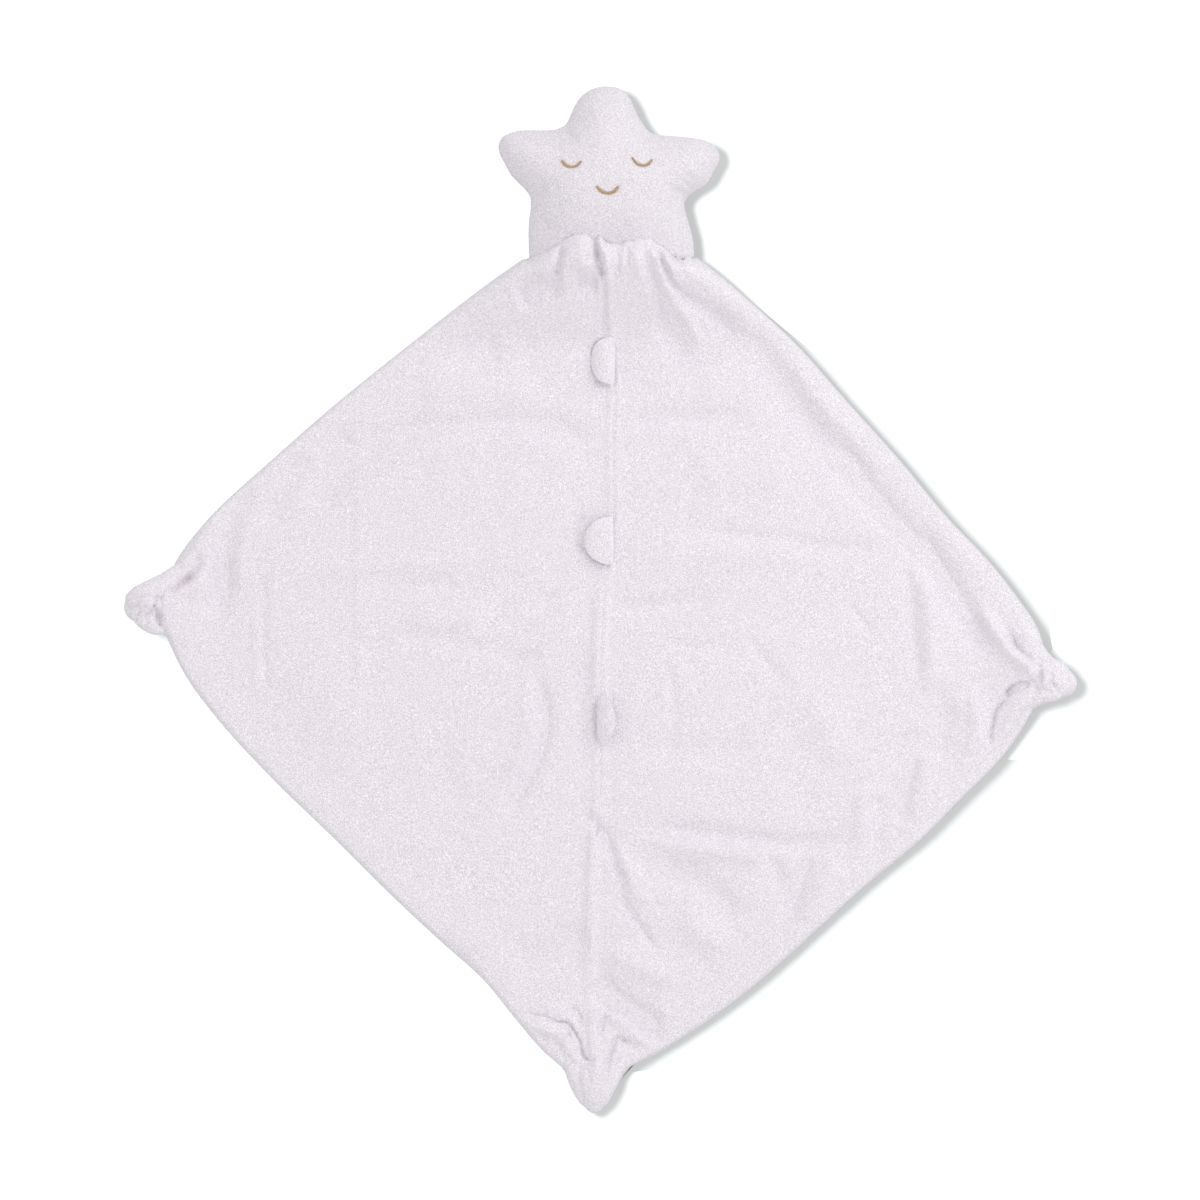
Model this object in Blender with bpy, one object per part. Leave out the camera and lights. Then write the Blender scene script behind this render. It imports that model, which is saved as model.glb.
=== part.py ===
"""Comfort blanket with a stuffed star head, laid flat on its back.

Metres, +Z up. X runs to the right, Y towards the head, and z = 0 is what the blanket lies on.
The origin is under the middle of the whole outline. Each sheet, cover, wad of filling,
flap, knot and thread is an object of its own.
"""
import math

import bmesh
import bpy
import numpy as np
from mathutils import Matrix, Vector

# Overall size
OVERALL_WIDTH = 0.4016
OVERALL_LENGTH = 0.4318
HALF_WIDTH = OVERALL_WIDTH / 2
HALF_LENGTH = OVERALL_LENGTH / 2

# Cloth
CLOTH = 0.0018
GAP = 0.0003
LOFT = 0.0006
LOFT_REACH = 0.012
EDGE_ROLL = 0.0016
EDGE_ROLL_INSET = 0.0060
EDGE_ROLL_REACH = 0.0050
EDGE_ROWS_INSET = 0.0045
FOLD_HEIGHT = 0.0022
FOLD_REACH = 0.0100

# Neck, where the sheets gather over the head
NECK_SHARE = 0.66327
NECK_Y = NECK_SHARE * HALF_LENGTH
NECK_RISE = 0.0262
NECK_SIDE_RISE = 0.0098
NECK_BACK_RISE = 0.0030
NECK_RISE_BELOW = 0.0332
NECK_RISE_ABOVE = 0.0068
GATHER_DEPTH = 0.0162
GATHER_FADE = 0.0500
RUFFLE_HEIGHT = 0.0105
RUFFLE_LAP = 0.0048
PLEAT_DEPTH = 0.0024
PLEAT_LENGTH = 0.0832
BACK_PANEL_SETBACK = 0.0040

# Star head
HEAD_X = 0.0042
HEAD_ABOVE_NECK = 0.0294
HEAD_Y = NECK_Y + HEAD_ABOVE_NECK
HEAD_RADIUS = 0.0502
HEAD_SEAM_Z = 0.0150
HEAD_FRONT_RISE = 0.0190
HEAD_BACK_DROP = 0.0155
HEAD_SWELL_REACH = 0.0225
NECK_BLEND = 0.0240
NECK_RUN_ON = 0.0400
COVER = 0.0015
HEAD_PIVOT_Z = 0.0160

# Threads and embroidery
THREAD = 0.0008
THREAD_EDGE_INSET = 0.0055
THREAD_RIDE = 0.0007
EYE_THREAD = 0.0012
EYE_WIDTH = 0.0081
EYE_SAG = 0.0024
EYE_LEFT_X = -0.0162
EYE_LEFT_Y = 0.0118
EYE_RIGHT_X = 0.0136
EYE_RIGHT_Y = 0.0126
MOUTH_THREAD = 0.0016
MOUTH_WIDTH = 0.0088
MOUTH_SAG = 0.0025
MOUTH_X = -0.0010
MOUTH_Y = 0.0008

# Flaps sewn into the centre seam
TAB_LENGTH = 0.0208
TAB_DEPTH = 0.0120
TAB_THICKNESS = 0.0035
TAB_UPPER_Y = 0.1010
TAB_MIDDLE_Y = 0.0254
TAB_LOWER_Y = -0.0500
TAB_UPPER_ANGLE = math.radians(143)
TAB_MIDDLE_ANGLE = math.radians(165)
TAB_LOWER_ANGLE = math.radians(55)

# Corner knots
KNOT_ROOT = 0.0045
KNOT_ROOT_WIDTH = 0.0190
KNOT_LENGTH = 0.0158
KNOT_AXIS_Z = 0.0075
KNOT_TAIL = 0.0066
KNOT_WRAP_RING = 0.0060
KNOT_WRAP_CORD = 0.0041
KNOT_WRAP_FORWARD = 0.0064
KNOT_WRAP_TILT = math.radians(18)
KNOT_RISE = 0.0036
KNOT_REACH = 0.0320

# Where the sheet ends at each corner, as shares of the half width and half length
CORNER_LEFT_SHARES = (-0.8974, -0.01158)
CORNER_RIGHT_SHARES = (0.8974, -0.15285)
CORNER_BOTTOM_SHARES = (-0.006474, -0.9046)

# Sheet outline from the neck to the bottom, as shares of the half width and half length
LEFT_EDGE_SHARES = (
    (-0.156, NECK_SHARE), (-0.213, 0.632), (-0.280, 0.586), (-0.387, 0.508), (-0.544, 0.391),
    (-0.688, 0.274), (-0.822, 0.158), (-0.890, 0.080), (-0.910, 0.045),
    (CORNER_LEFT_SHARES[0], 0.012), (CORNER_LEFT_SHARES[0], -0.035), (-0.893, -0.076),
    (-0.862, -0.154), (-0.799, -0.232), (-0.684, -0.348), (-0.554, -0.465), (-0.427, -0.582),
    (-0.337, -0.660), (-0.245, -0.737), (-0.176, -0.815), (-0.115, -0.880),
    (-0.070, CORNER_BOTTOM_SHARES[1]),
)
RIGHT_EDGE_SHARES = (
    (0.209, NECK_SHARE), (0.253, 0.632), (0.310, 0.586), (0.402, 0.508), (0.515, 0.391),
    (0.628, 0.274), (0.732, 0.158), (0.812, 0.080), (0.878, 0.002), (0.908, -0.045),
    (0.914, -0.085), (CORNER_RIGHT_SHARES[0], -0.125), (CORNER_RIGHT_SHARES[0], -0.180),
    (0.887, -0.232), (0.833, -0.309), (0.755, -0.387), (0.672, -0.465), (0.571, -0.543),
    (0.477, -0.621), (0.387, -0.698), (0.287, -0.776), (0.174, -0.850), (0.095, -0.888),
    (0.055, CORNER_BOTTOM_SHARES[1]),
)
# Centre seam as shares of the half width and half length
SEAM_SHARES = (
    (0.008, 0.660), (0.017, 0.527), (0.027, 0.469), (0.027, 0.294), (0.025, 0.119),
    (0.008, 0.021), (0.002, -0.076), (0.000, -0.232), (-0.002, -0.387), (-0.017, -0.543),
    (-0.023, -0.679), (-0.017, -0.796), (-0.008, CORNER_BOTTOM_SHARES[1]),
)
# Places of the rows and columns in each sheet
ROW_SHARES = (
    0, 0.018, 0.036, 0.056, 0.08, 0.11, 0.145, 0.18, 0.22, 0.26, 0.30, 0.345, 0.39, 0.43,
    0.465, 0.49, 0.51, 0.535, 0.565, 0.60, 0.64, 0.68, 0.72, 0.76, 0.80, 0.845, 0.89,
    0.93, 0.96, 0.982, 1,
)
COLUMN_SHARES = (0, 0.06, 0.12, 0.20, 0.29, 0.38, 0.48, 0.57, 0.66, 0.75, 0.84, 0.92, 1)
BACK_COLUMN_SHARES = (-1, -0.95, -0.88, -0.76, -0.60, -0.35, 0, 0.35, 0.60, 0.76, 0.88, 0.95, 1)
GATHER_ROW_SHARES = (0, 0.25, 0.5, 0.7, 0.85, 0.95, 1)
# Gathers across the neck: place as a share of the half width, height as a share of a pleat
PLEAT_SHARES = (
    (-1, 0), (-0.84, 0.5), (-0.75, 0.9), (-0.66, 0.8), (-0.57, 0.0), (-0.48, 0.8),
    (-0.38, 1.0), (-0.20, 0.9), (-0.12, 0.9), (-0.06, 0.5), (0, -0.35), (0.06, 0.5),
    (0.12, 0.9), (0.20, 0.1), (0.29, 0.9), (0.38, 0.0), (0.48, 0.9), (0.57, 0.1),
    (0.66, 0.6), (0.75, 1.0), (0.84, 0.7), (0.92, 0.4), (1, 0),
)
# Top line of the ruffle over the head, as shares of the half width and ruffle height
RUFFLE_SHARES = (
    (-1, -0.18), (-0.84, 0.26), (-0.66, 0.62), (-0.57, 0.74), (-0.48, 0.96), (-0.38, 1.0),
    (-0.20, 0.94), (-0.12, 0.90), (0, 0.58), (0.12, 0.82), (0.20, 0.72), (0.29, 0.80),
    (0.38, 0.74), (0.48, 0.84), (0.57, 0.60), (0.66, 0.40), (0.84, 0.12), (1, -0.18),
)
# Main folds: both ends as shares of the half width and half length, then height and reach
FOLD_SHARES = (
    (-0.52, 0.36, 0.32, 0.37, 0.55, 1.0),
    (-0.76, 0.08, -0.08, 0.09, 0.50, 1.0),
    (0.10, 0.11, 0.58, 0.11, 0.50, 1.0),
    (0.08, -0.45, 0.52, -0.44, 0.55, 1.1),
    (-0.52, 0.28, -0.52, -0.24, 0.35, 1.0),
    (0.66, 0.04, 0.63, -0.30, 0.60, 1.1),
    (0.72, -0.26, 0.88, -0.15, 0.90, 1.0),
    (0.12, -0.50, 0.40, -0.56, 0.55, 1.2),
    (-0.14, -0.80, -0.05, -0.88, 0.80, 0.8),
    (0.04, -0.76, 0.10, -0.84, 0.80, 0.8),
)
# Star outline: angle in degrees anticlockwise from +X, and radius as a share of the largest
STAR_SHARES = (
    (-40, 0.915), (-32, 0.820), (-20, 0.686), (-8, 0.636), (-2, 0.690), (4, 0.808),
    (10, 0.879), (16, 0.950), (22, 0.950), (28, 0.883), (34, 0.782), (43, 0.661),
    (55, 0.586), (64, 0.619), (70, 0.669), (76, 0.753), (82, 0.832), (90, 0.862),
    (98, 0.860), (106, 0.824), (112, 0.770), (118, 0.703), (124, 0.661), (130, 0.669),
    (136, 0.715), (142, 0.808), (148, 0.921), (154, 1.000), (160, 0.992), (166, 0.908),
    (172, 0.828), (178, 0.732), (184, 0.674), (192, 0.678), (202, 0.732), (214, 0.820),
    (221, 0.890),
)
STAR_TURN_SHARE = 5 / 6
NOTCH_ANGLES = {"top": (55, 125), "left": (125, 187), "right": (-8, 55)}
NECK_THICKNESS_SHARE = 0.55
ARM_FULLNESS_SHARE = 0.75
TAB_FULLNESS_SHARE = 0.55
KNOT_PROFILE_SHARES = (
    (0.10, 0.55), (0.30, 0.80), (0.50, 0.92), (0.68, 1.00), (0.84, 0.88), (0.95, 0.52),
)
STAR_SEGMENTS = 48
STAR_RINGS = 12
OUTLINE_POINTS = 360
EDGE_PROBE_DEGREES = 0.5
SHARP_ANGLE = math.radians(50)
# On a unit sphere: what counts as its rim, and as its flat side
RIM_SHARE = 0.999
FLAT_SHARE = 1e-4

PLUSH_COLOUR = (0.80, 0.74, 0.79, 1)
FILLING_COLOUR = (0.88, 0.88, 0.88, 1)
THREAD_COLOUR = (0.82, 0.77, 0.80, 1)
FACE_THREAD_COLOUR = (0.47, 0.29, 0.13, 1)


def clear_scene():
    for obj in list(bpy.data.objects):
        bpy.data.objects.remove(obj, do_unlink=True)


def new_collection(name):
    collection = bpy.data.collections.new(name)
    bpy.context.scene.collection.children.link(collection)
    return collection


def principled(name, colour, roughness, sheen=0.0):
    material = bpy.data.materials.new(name)
    material.use_nodes = True
    shader = material.node_tree.nodes["Principled BSDF"]
    shader.inputs["Base Color"].default_value = colour
    shader.inputs["Roughness"].default_value = roughness
    shader.inputs["Metallic"].default_value = 0.0
    shader.inputs["Sheen Weight"].default_value = sheen
    return material


def plush_material(name):
    return principled(name, PLUSH_COLOUR, 0.95, sheen=0.5)


def filling_material(name):
    return principled(name, FILLING_COLOUR, 1.0)


def thread_material(name):
    return principled(name, THREAD_COLOUR, 0.7)


def face_thread_material(name):
    return principled(name, FACE_THREAD_COLOUR, 0.6)


def ease(value):
    """Rise smoothly from 0 to 1."""
    value = np.clip(value, 0, 1)
    return value * value * (3 - 2 * value)


def bell(distance, reach):
    return np.exp(-(distance / reach) ** 2)


def hump(distance, reach):
    """A bell that ends, flat, at its reach."""
    return np.clip(1 - (distance / reach) ** 2, 0, 1) ** 3


def smooth_table(pairs, where):
    """Read a smooth curve through (place, value) pairs."""
    places, values = (np.array(column, float) for column in zip(*pairs))
    slopes = np.gradient(values, places)
    where = np.clip(where, places[0], places[-1])
    index = np.clip(np.searchsorted(places, where) - 1, 0, len(places) - 2)
    span = places[index + 1] - places[index]
    t = (where - places[index]) / span
    near = (1 + 2 * t) * (1 - t) ** 2 * values[index] + t * (1 - t) ** 2 * span * slopes[index]
    far = t * t * (3 - 2 * t) * values[index + 1] - t * t * (1 - t) * span * slopes[index + 1]
    return near + far


def line_x(shares, y):
    """Give x on a line that runs down the blanket, at y."""
    pairs = [(share_y, share_x) for share_x, share_y in reversed(shares)]
    return smooth_table(pairs, y / HALF_LENGTH) * HALF_WIDTH


def seam_x(y):
    return line_x(SEAM_SHARES, y)


def edge_x(side, y):
    return line_x(LEFT_EDGE_SHARES if side < 0 else RIGHT_EDGE_SHARES, y)


def blanket_outline():
    """Both side edges as closely spaced points, from the neck round to the neck."""
    top = LEFT_EDGE_SHARES[0][1] * HALF_LENGTH
    bottom = LEFT_EDGE_SHARES[-1][1] * HALF_LENGTH
    down = np.linspace(top, bottom, OUTLINE_POINTS)
    left = np.column_stack([edge_x(-1, down), down])
    right = np.column_stack([edge_x(1, down[::-1]), down[::-1]])
    return np.vstack([left, right])


def distance_to_line(points, line):
    """Least distance from each point to an open line of points."""
    start, end = line[:-1], line[1:]
    along = end - start
    length = np.maximum((along ** 2).sum(axis=1), np.finfo(float).tiny)
    offset = points[:, None, :] - start[None, :, :]
    t = np.clip((offset * along).sum(axis=2) / length, 0, 1)
    return np.linalg.norm(offset - t[..., None] * along, axis=2).min(axis=1)


def knot_places():
    """Each knot's hinge point and the direction that its tip points in."""
    corners = {
        "left": (CORNER_LEFT_SHARES, math.pi),
        "right": (CORNER_RIGHT_SHARES, 0.0),
        "bottom": (CORNER_BOTTOM_SHARES, -math.pi / 2),
    }
    places = {}
    for name, ((share_x, share_y), heading) in corners.items():
        corner = Vector((share_x * HALF_WIDTH, share_y * HALF_LENGTH, KNOT_AXIS_Z))
        clear = Vector((math.cos(heading), math.sin(heading), 0)) * (KNOT_ROOT + GAP)
        places[name] = (corner + clear, heading)
    return places


def star_radius(angle):
    """Radius of the star at an angle in degrees; below, the neck cuts it off straight."""
    angle = np.asarray(angle, float)
    first, last = STAR_SHARES[0][0], STAR_SHARES[-1][0]
    star = smooth_table(STAR_SHARES, np.clip(angle, first, last)) * HEAD_RADIUS
    below = (angle < first) | (angle > last)
    drop = np.where(below, -np.sin(np.radians(angle)), 1)
    return np.where(below, (HEAD_Y - NECK_Y) / drop, star)


def star_edge(angle):
    """Points of the star's edge at angles in degrees, and the ways out of it there."""
    first, last = STAR_SHARES[0][0], STAR_SHARES[-1][0]

    def point(turn):
        radius = star_radius(turn)
        turn = np.radians(turn)
        across, up = radius * np.cos(turn), radius * np.sin(turn)
        return np.column_stack([HEAD_X + across, HEAD_Y + up])

    before = np.clip(angle - EDGE_PROBE_DEGREES, first, last)
    after = np.clip(angle + EDGE_PROBE_DEGREES, first, last)
    along = point(after) - point(before)
    out = np.column_stack([along[:, 1], -along[:, 0]])
    length = np.linalg.norm(out, axis=1, keepdims=True)
    at_neck = (angle < first) | (angle > last)
    out = np.where(at_neck[:, None], [0, -1], out / np.maximum(length, np.finfo(float).tiny))
    return point(angle), out, at_neck


def star_outline():
    """The star's edge, run on past the neck so that the neck end stays thick."""
    line, _, _ = star_edge(np.linspace(STAR_SHARES[0][0], STAR_SHARES[-1][0], OUTLINE_POINTS))
    past = np.linspace(1, 0, OUTLINE_POINTS // 4)[:-1, None] * np.array([0, NECK_RUN_ON])
    return np.vstack([line[0] - past, line, line[-1] - past[::-1]])


def soft_inset(points, line):
    """Inset from a line: true beside it, and rounded off where two sides are equally near."""
    middles = (line[1:] + line[:-1]) / 2
    lengths = np.linalg.norm(line[1:] - line[:-1], axis=1)
    apart = np.linalg.norm(points[:, None, :] - middles[None, :, :], axis=2)
    apart = np.maximum(apart, lengths / 2)
    return ((lengths / apart ** 4).sum(axis=1) * 2 / math.pi) ** (-1 / 3)


def head_swell(points):
    """Share of the full half thickness at points of the head."""
    fullness = np.clip(soft_inset(points, star_outline()) / HEAD_SWELL_REACH, 0, 1)
    dome = np.sqrt(1 - (1 - fullness) ** 2)
    arm = ARM_FULLNESS_SHARE + (1 - ARM_FULLNESS_SHARE) * fullness
    up = ease((points[:, 1] - NECK_Y) / NECK_BLEND)
    neck = NECK_THICKNESS_SHARE + (1 - NECK_THICKNESS_SHARE) * up
    return dome * arm * neck


def head_front_z(points):
    return HEAD_SEAM_Z + HEAD_FRONT_RISE * head_swell(points)


def neck_span(y):
    """Middle and half width of the sheets at y."""
    left, right = edge_x(-1, y), edge_x(1, y)
    return (left + right) / 2, (right - left) / 2


def neck_lift(x, y, rise):
    """How far the sheets climb to the neck: at its sides alike, and by rise in its middle."""
    middle, half = neck_span(np.minimum(y, LEFT_EDGE_SHARES[0][1] * HALF_LENGTH))
    arch = np.sqrt(np.clip(1 - ((x - middle) / half) ** 2, 0, 1))
    climb = ease((y - NECK_Y + NECK_RISE_BELOW) / (NECK_RISE_BELOW + NECK_RISE_ABOVE))
    return climb * (NECK_SIDE_RISE + (rise - NECK_SIDE_RISE) * arch), arch


def knot_lift(x, y):
    """How far the sheets are drawn up into the knots."""
    places = [place for place, _ in knot_places().values()]
    return sum(KNOT_RISE * hump(np.hypot(x - p.x, y - p.y), KNOT_REACH) for p in places)


def sheet_under_z(x, y, across):
    """Underside of the front sheets; across runs from -1 at the left edge to 1 at the right."""
    points = np.column_stack([x, y])
    from_edge = distance_to_line(points, blanket_outline())
    from_seam = np.abs(x - seam_x(y))
    lift = THREAD_RIDE + THREAD + LOFT * (1 - bell(from_seam, LOFT_REACH))
    lift = lift * ease(from_edge / EDGE_ROLL_INSET)
    rim = bell(EDGE_ROLL_INSET, EDGE_ROLL_REACH) * bell(from_edge, EDGE_ROLL_INSET)
    lift = lift + EDGE_ROLL * (bell(from_edge - EDGE_ROLL_INSET, EDGE_ROLL_REACH) - rim)
    lift = lift + fold_lift(points) * ease(from_seam / LOFT_REACH) * ease(from_edge / LOFT_REACH)
    climb, arch = neck_lift(x, y, NECK_RISE)
    pleat = np.interp(across, *zip(*PLEAT_SHARES))
    gathered = ease((y - NECK_Y) / PLEAT_LENGTH + 1) ** 2
    lift = np.maximum(lift + PLEAT_DEPTH * gathered * pleat * arch, 0)
    return CLOTH + GAP + lift + climb + knot_lift(x, y)


def fold_lift(points):
    lift = np.zeros(len(points))
    for x0, y0, x1, y1, height, reach in FOLD_SHARES:
        line = np.array([[x0 * HALF_WIDTH, y0 * HALF_LENGTH], [x1 * HALF_WIDTH, y1 * HALF_LENGTH]])
        lift = lift + FOLD_HEIGHT * height * bell(distance_to_line(points, line), FOLD_REACH * reach)
    return lift


def grid_shares(bm, columns, rows):
    """Number the grid's vertices and give each one's column and row place."""
    bm.verts.ensure_lookup_table()
    unit = np.array([vertex.co[:2] for vertex in bm.verts]) / 2 + 0.5
    across = np.array(columns)[np.rint(unit[:, 0] * (len(columns) - 1)).astype(int)]
    along = np.array(rows)[np.rint(unit[:, 1] * (len(rows) - 1)).astype(int)]
    return across, along


def new_grid(columns, rows):
    bm = bmesh.new()
    bmesh.ops.create_grid(bm, x_segments=len(columns) - 1, y_segments=len(rows) - 1, size=1)
    return bm


def thicken_down(bm, thickness):
    """Turn a one-layer surface into a closed sheet by extruding it downwards."""
    bmesh.ops.recalc_face_normals(bm, faces=bm.faces)
    if sum(face.normal.z for face in bm.faces) < 0:
        bmesh.ops.reverse_faces(bm, faces=bm.faces)
    upper = list(bm.faces)
    made = bmesh.ops.extrude_face_region(bm, geom=upper, use_keep_orig=True)
    lower = [item for item in made["geom"] if isinstance(item, bmesh.types.BMVert)]
    bmesh.ops.translate(bm, verts=lower, vec=(0, 0, -thickness))
    bmesh.ops.recalc_face_normals(bm, faces=bm.faces)


def place_vertices(bm, x, y, z):
    for vertex, place in zip(bm.verts, zip(x, y, z)):
        vertex.co = place


def make_object(name, bm, material, collection, pivot=None, parent=None):
    """Link a mesh built in world places as an object whose origin is on its pivot."""
    origin = Vector(pivot) if pivot is not None else Vector()
    bmesh.ops.translate(bm, verts=bm.verts, vec=-origin)
    mesh = bpy.data.meshes.new(name)
    bm.to_mesh(mesh)
    bm.free()
    mesh.shade_smooth()
    mesh.set_sharp_from_angle(angle=SHARP_ANGLE)
    mesh.materials.append(material)
    obj = bpy.data.objects.new(name, mesh)
    collection.objects.link(obj)
    if parent is None:
        obj.location = origin
    else:
        obj.parent = parent
    return obj


def make_tube(name, points, diameter, material, collection, pivot=None, parent=None):
    """A thread as a bevelled POLY curve with filled caps."""
    origin = Vector(pivot) if pivot is not None else Vector()
    curve = bpy.data.curves.new(name, "CURVE")
    curve.dimensions = "3D"
    curve.bevel_depth = diameter / 2
    curve.bevel_resolution = 2
    curve.render_resolution_u = 0
    curve.use_fill_caps = True
    spline = curve.splines.new("POLY")
    spline.points.add(len(points) - 1)
    for point, place in zip(spline.points, points):
        point.co = (*(Vector(place) - origin), 1)
    curve.materials.append(material)
    obj = bpy.data.objects.new(name, curve)
    collection.objects.link(obj)
    if parent is None:
        obj.location = origin
    else:
        obj.parent = parent
    return obj


def column_share(across, width):
    """Keep the last column but one a fixed inset from the edge, however wide the row is."""
    share = across / COLUMN_SHARES[-2] * (width - EDGE_ROWS_INSET) / width
    return np.where(across > COLUMN_SHARES[-2], 1, share)


def panel_places(across, along, side):
    """Where a front panel's grid lies: rows sag round the gathered neck."""
    top = LEFT_EDGE_SHARES[0][1] * HALF_LENGTH
    bottom = LEFT_EDGE_SHARES[-1][1] * HALF_LENGTH
    row = top + (bottom - top) * along
    share = column_share(across, np.abs(edge_x(side, row) - seam_x(row)))
    y = row - GATHER_DEPTH * (1 - share ** 2) * np.clip(1 - (top - row) / GATHER_FADE, 0, 1)
    inner = seam_x(y) + side * GAP / 2
    return inner + (edge_x(side, y) - inner) * share, y, side * share


def front_panel(side, collection):
    name = "front_panel_left" if side < 0 else "front_panel_right"
    bm = new_grid(COLUMN_SHARES, ROW_SHARES)
    across, along = grid_shares(bm, COLUMN_SHARES, ROW_SHARES)
    x, y, share = panel_places(across, along, side)
    place_vertices(bm, x, y, sheet_under_z(x, y, share) + CLOTH)
    thicken_down(bm, CLOTH)
    return make_object(name, bm, plush_material(name), collection)


def back_panel(collection):
    bm = new_grid(BACK_COLUMN_SHARES, ROW_SHARES)
    across, along = grid_shares(bm, BACK_COLUMN_SHARES, ROW_SHARES)
    top = LEFT_EDGE_SHARES[0][1] * HALF_LENGTH - BACK_PANEL_SETBACK
    bottom = LEFT_EDGE_SHARES[-1][1] * HALF_LENGTH
    y = top + (bottom - top) * along
    middle = seam_x(y)
    reach = np.where(across < 0, middle - edge_x(-1, y), edge_x(1, y) - middle)
    x = middle + reach * across
    climb, _ = neck_lift(x, y, NECK_BACK_RISE)
    place_vertices(bm, x, y, CLOTH + climb + knot_lift(x, y))
    thicken_down(bm, CLOTH)
    return make_object("back_panel", bm, plush_material("back_panel"), collection)


def neck_gather(collection):
    """The gathered top of the front sheets, which turns up over the head's lower edge."""
    columns = [-share for share in reversed(COLUMN_SHARES[1:])] + list(COLUMN_SHARES)
    bm = new_grid(columns, GATHER_ROW_SHARES)
    across, along = grid_shares(bm, columns, GATHER_ROW_SHARES)
    line = LEFT_EDGE_SHARES[0][1] * HALF_LENGTH
    side = np.where(across < 0, -1, 1)
    width = np.where(across < 0, seam_x(line) - edge_x(-1, line), edge_x(1, line) - seam_x(line))
    share = column_share(np.abs(across), width)
    low = line - GATHER_DEPTH * (1 - share ** 2) + GAP * 2
    ruffle = np.interp(side * share, *zip(*RUFFLE_SHARES))
    high = line + GAP * 4 + RUFFLE_HEIGHT * ruffle
    y = low + (high - low) * along
    level = np.minimum(y, line)
    outer = np.where(across < 0, edge_x(-1, level), edge_x(1, level))
    x = seam_x(level) + (outer - seam_x(level)) * share
    under = sheet_under_z(x, y, side * share)
    pleat = np.interp(side * share, *zip(*PLEAT_SHARES))
    clear = head_front_z(np.column_stack([x, y])) + GAP + PLEAT_DEPTH * (pleat + 1) / 2
    over_head = (share < 1) & (y > NECK_Y - RUFFLE_LAP)
    place_vertices(bm, x, y, np.where(over_head, np.maximum(under, clear), under) + CLOTH)
    thicken_down(bm, CLOTH)
    return make_object("neck_gather", bm, plush_material("neck_gather"), collection)


def star_angle(turn):
    """Spread the mesh's angles: most go round the star and the rest along the neck."""
    first, last = STAR_SHARES[0][0], STAR_SHARES[-1][0]
    round_star = first + (last - first) * turn / STAR_TURN_SHARE
    along_neck = last + (360 + first - last) * (turn - STAR_TURN_SHARE) / (1 - STAR_TURN_SHARE)
    return np.where(turn <= STAR_TURN_SHARE, round_star, along_neck)


def star_points(unit, inset, front, back):
    """Lay unit sphere points out as the star, drawn in by inset all round."""
    ring = np.hypot(unit[:, 0], unit[:, 1])
    turn = np.mod(np.arctan2(unit[:, 1], unit[:, 0]) / (2 * math.pi), 1)
    turn = np.rint(turn * STAR_SEGMENTS) % STAR_SEGMENTS / STAR_SEGMENTS
    edge, out, at_neck = star_edge(star_angle(turn))
    middle = np.array([HEAD_X, HEAD_Y])
    outer = middle + (edge - middle) * ring[:, None]
    swell = np.where((ring > RIM_SHARE) & ~at_neck, 0, head_swell(outer))
    place = middle + (edge - out * inset - middle) * ring[:, None]
    rise = np.where(unit[:, 2] >= 0, front - inset, -(back - inset)) * swell
    return place[:, 0], place[:, 1], np.maximum(HEAD_SEAM_Z + rise, inset)


def half_sphere(upper):
    bm = bmesh.new()
    bmesh.ops.create_uvsphere(bm, u_segments=STAR_SEGMENTS, v_segments=STAR_RINGS, radius=1)
    keep = 1 if upper else -1
    away = [vertex for vertex in bm.verts if vertex.co.z * keep < -FLAT_SHARE]
    bmesh.ops.delete(bm, geom=away, context="VERTS")
    return bm


def unit_places(verts):
    return np.array([vertex.co[:] for vertex in verts])


def head_cover(upper, collection, parent):
    """One half of the star's skin: outer face, inner face a cover's thickness in, and rim."""
    name = "head_front_cover" if upper else "head_back_cover"
    bm = half_sphere(upper)
    outside = list(bm.verts)
    copied = bmesh.ops.duplicate(bm, geom=list(bm.verts) + list(bm.edges) + list(bm.faces))
    inside = [item for item in copied["geom"] if isinstance(item, bmesh.types.BMVert)]
    inner_faces = [item for item in copied["geom"] if isinstance(item, bmesh.types.BMFace)]
    for verts, inset in ((outside, 0), (inside, COVER)):
        unit = unit_places(verts)
        unit[:, 2] = abs(unit[:, 2]) if upper else -abs(unit[:, 2]) - FLAT_SHARE ** 2
        x, y, z = star_points(unit, inset, HEAD_FRONT_RISE, HEAD_BACK_DROP)
        z = z + (GAP / 2 if upper else -GAP / 2) * (np.abs(z - HEAD_SEAM_Z) < HEAD_SEAM_Z / 2)
        for vertex, place in zip(verts, zip(x, y, z)):
            vertex.co = place
    bmesh.ops.reverse_faces(bm, faces=inner_faces)
    rims = [edge for edge in bm.edges if edge.is_boundary]
    bmesh.ops.bridge_loops(bm, edges=rims)
    bmesh.ops.recalc_face_normals(bm, faces=bm.faces)
    material = plush_material(name)
    return make_object(name, bm, material, collection, pivot=parent.location, parent=parent)


def keep_side(bm, point, direction):
    """Cut a closed solid with a plane, keep what lies along direction and close the cut."""
    geom = list(bm.verts) + list(bm.edges) + list(bm.faces)
    cut = bmesh.ops.bisect_plane(bm, geom=geom, plane_co=point, plane_no=direction,
                                 clear_inner=True)
    edges = [item for item in cut["geom_cut"] if isinstance(item, bmesh.types.BMEdge)]
    bmesh.ops.contextual_create(bm, geom=edges)
    bmesh.ops.recalc_face_normals(bm, faces=bm.faces)


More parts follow.
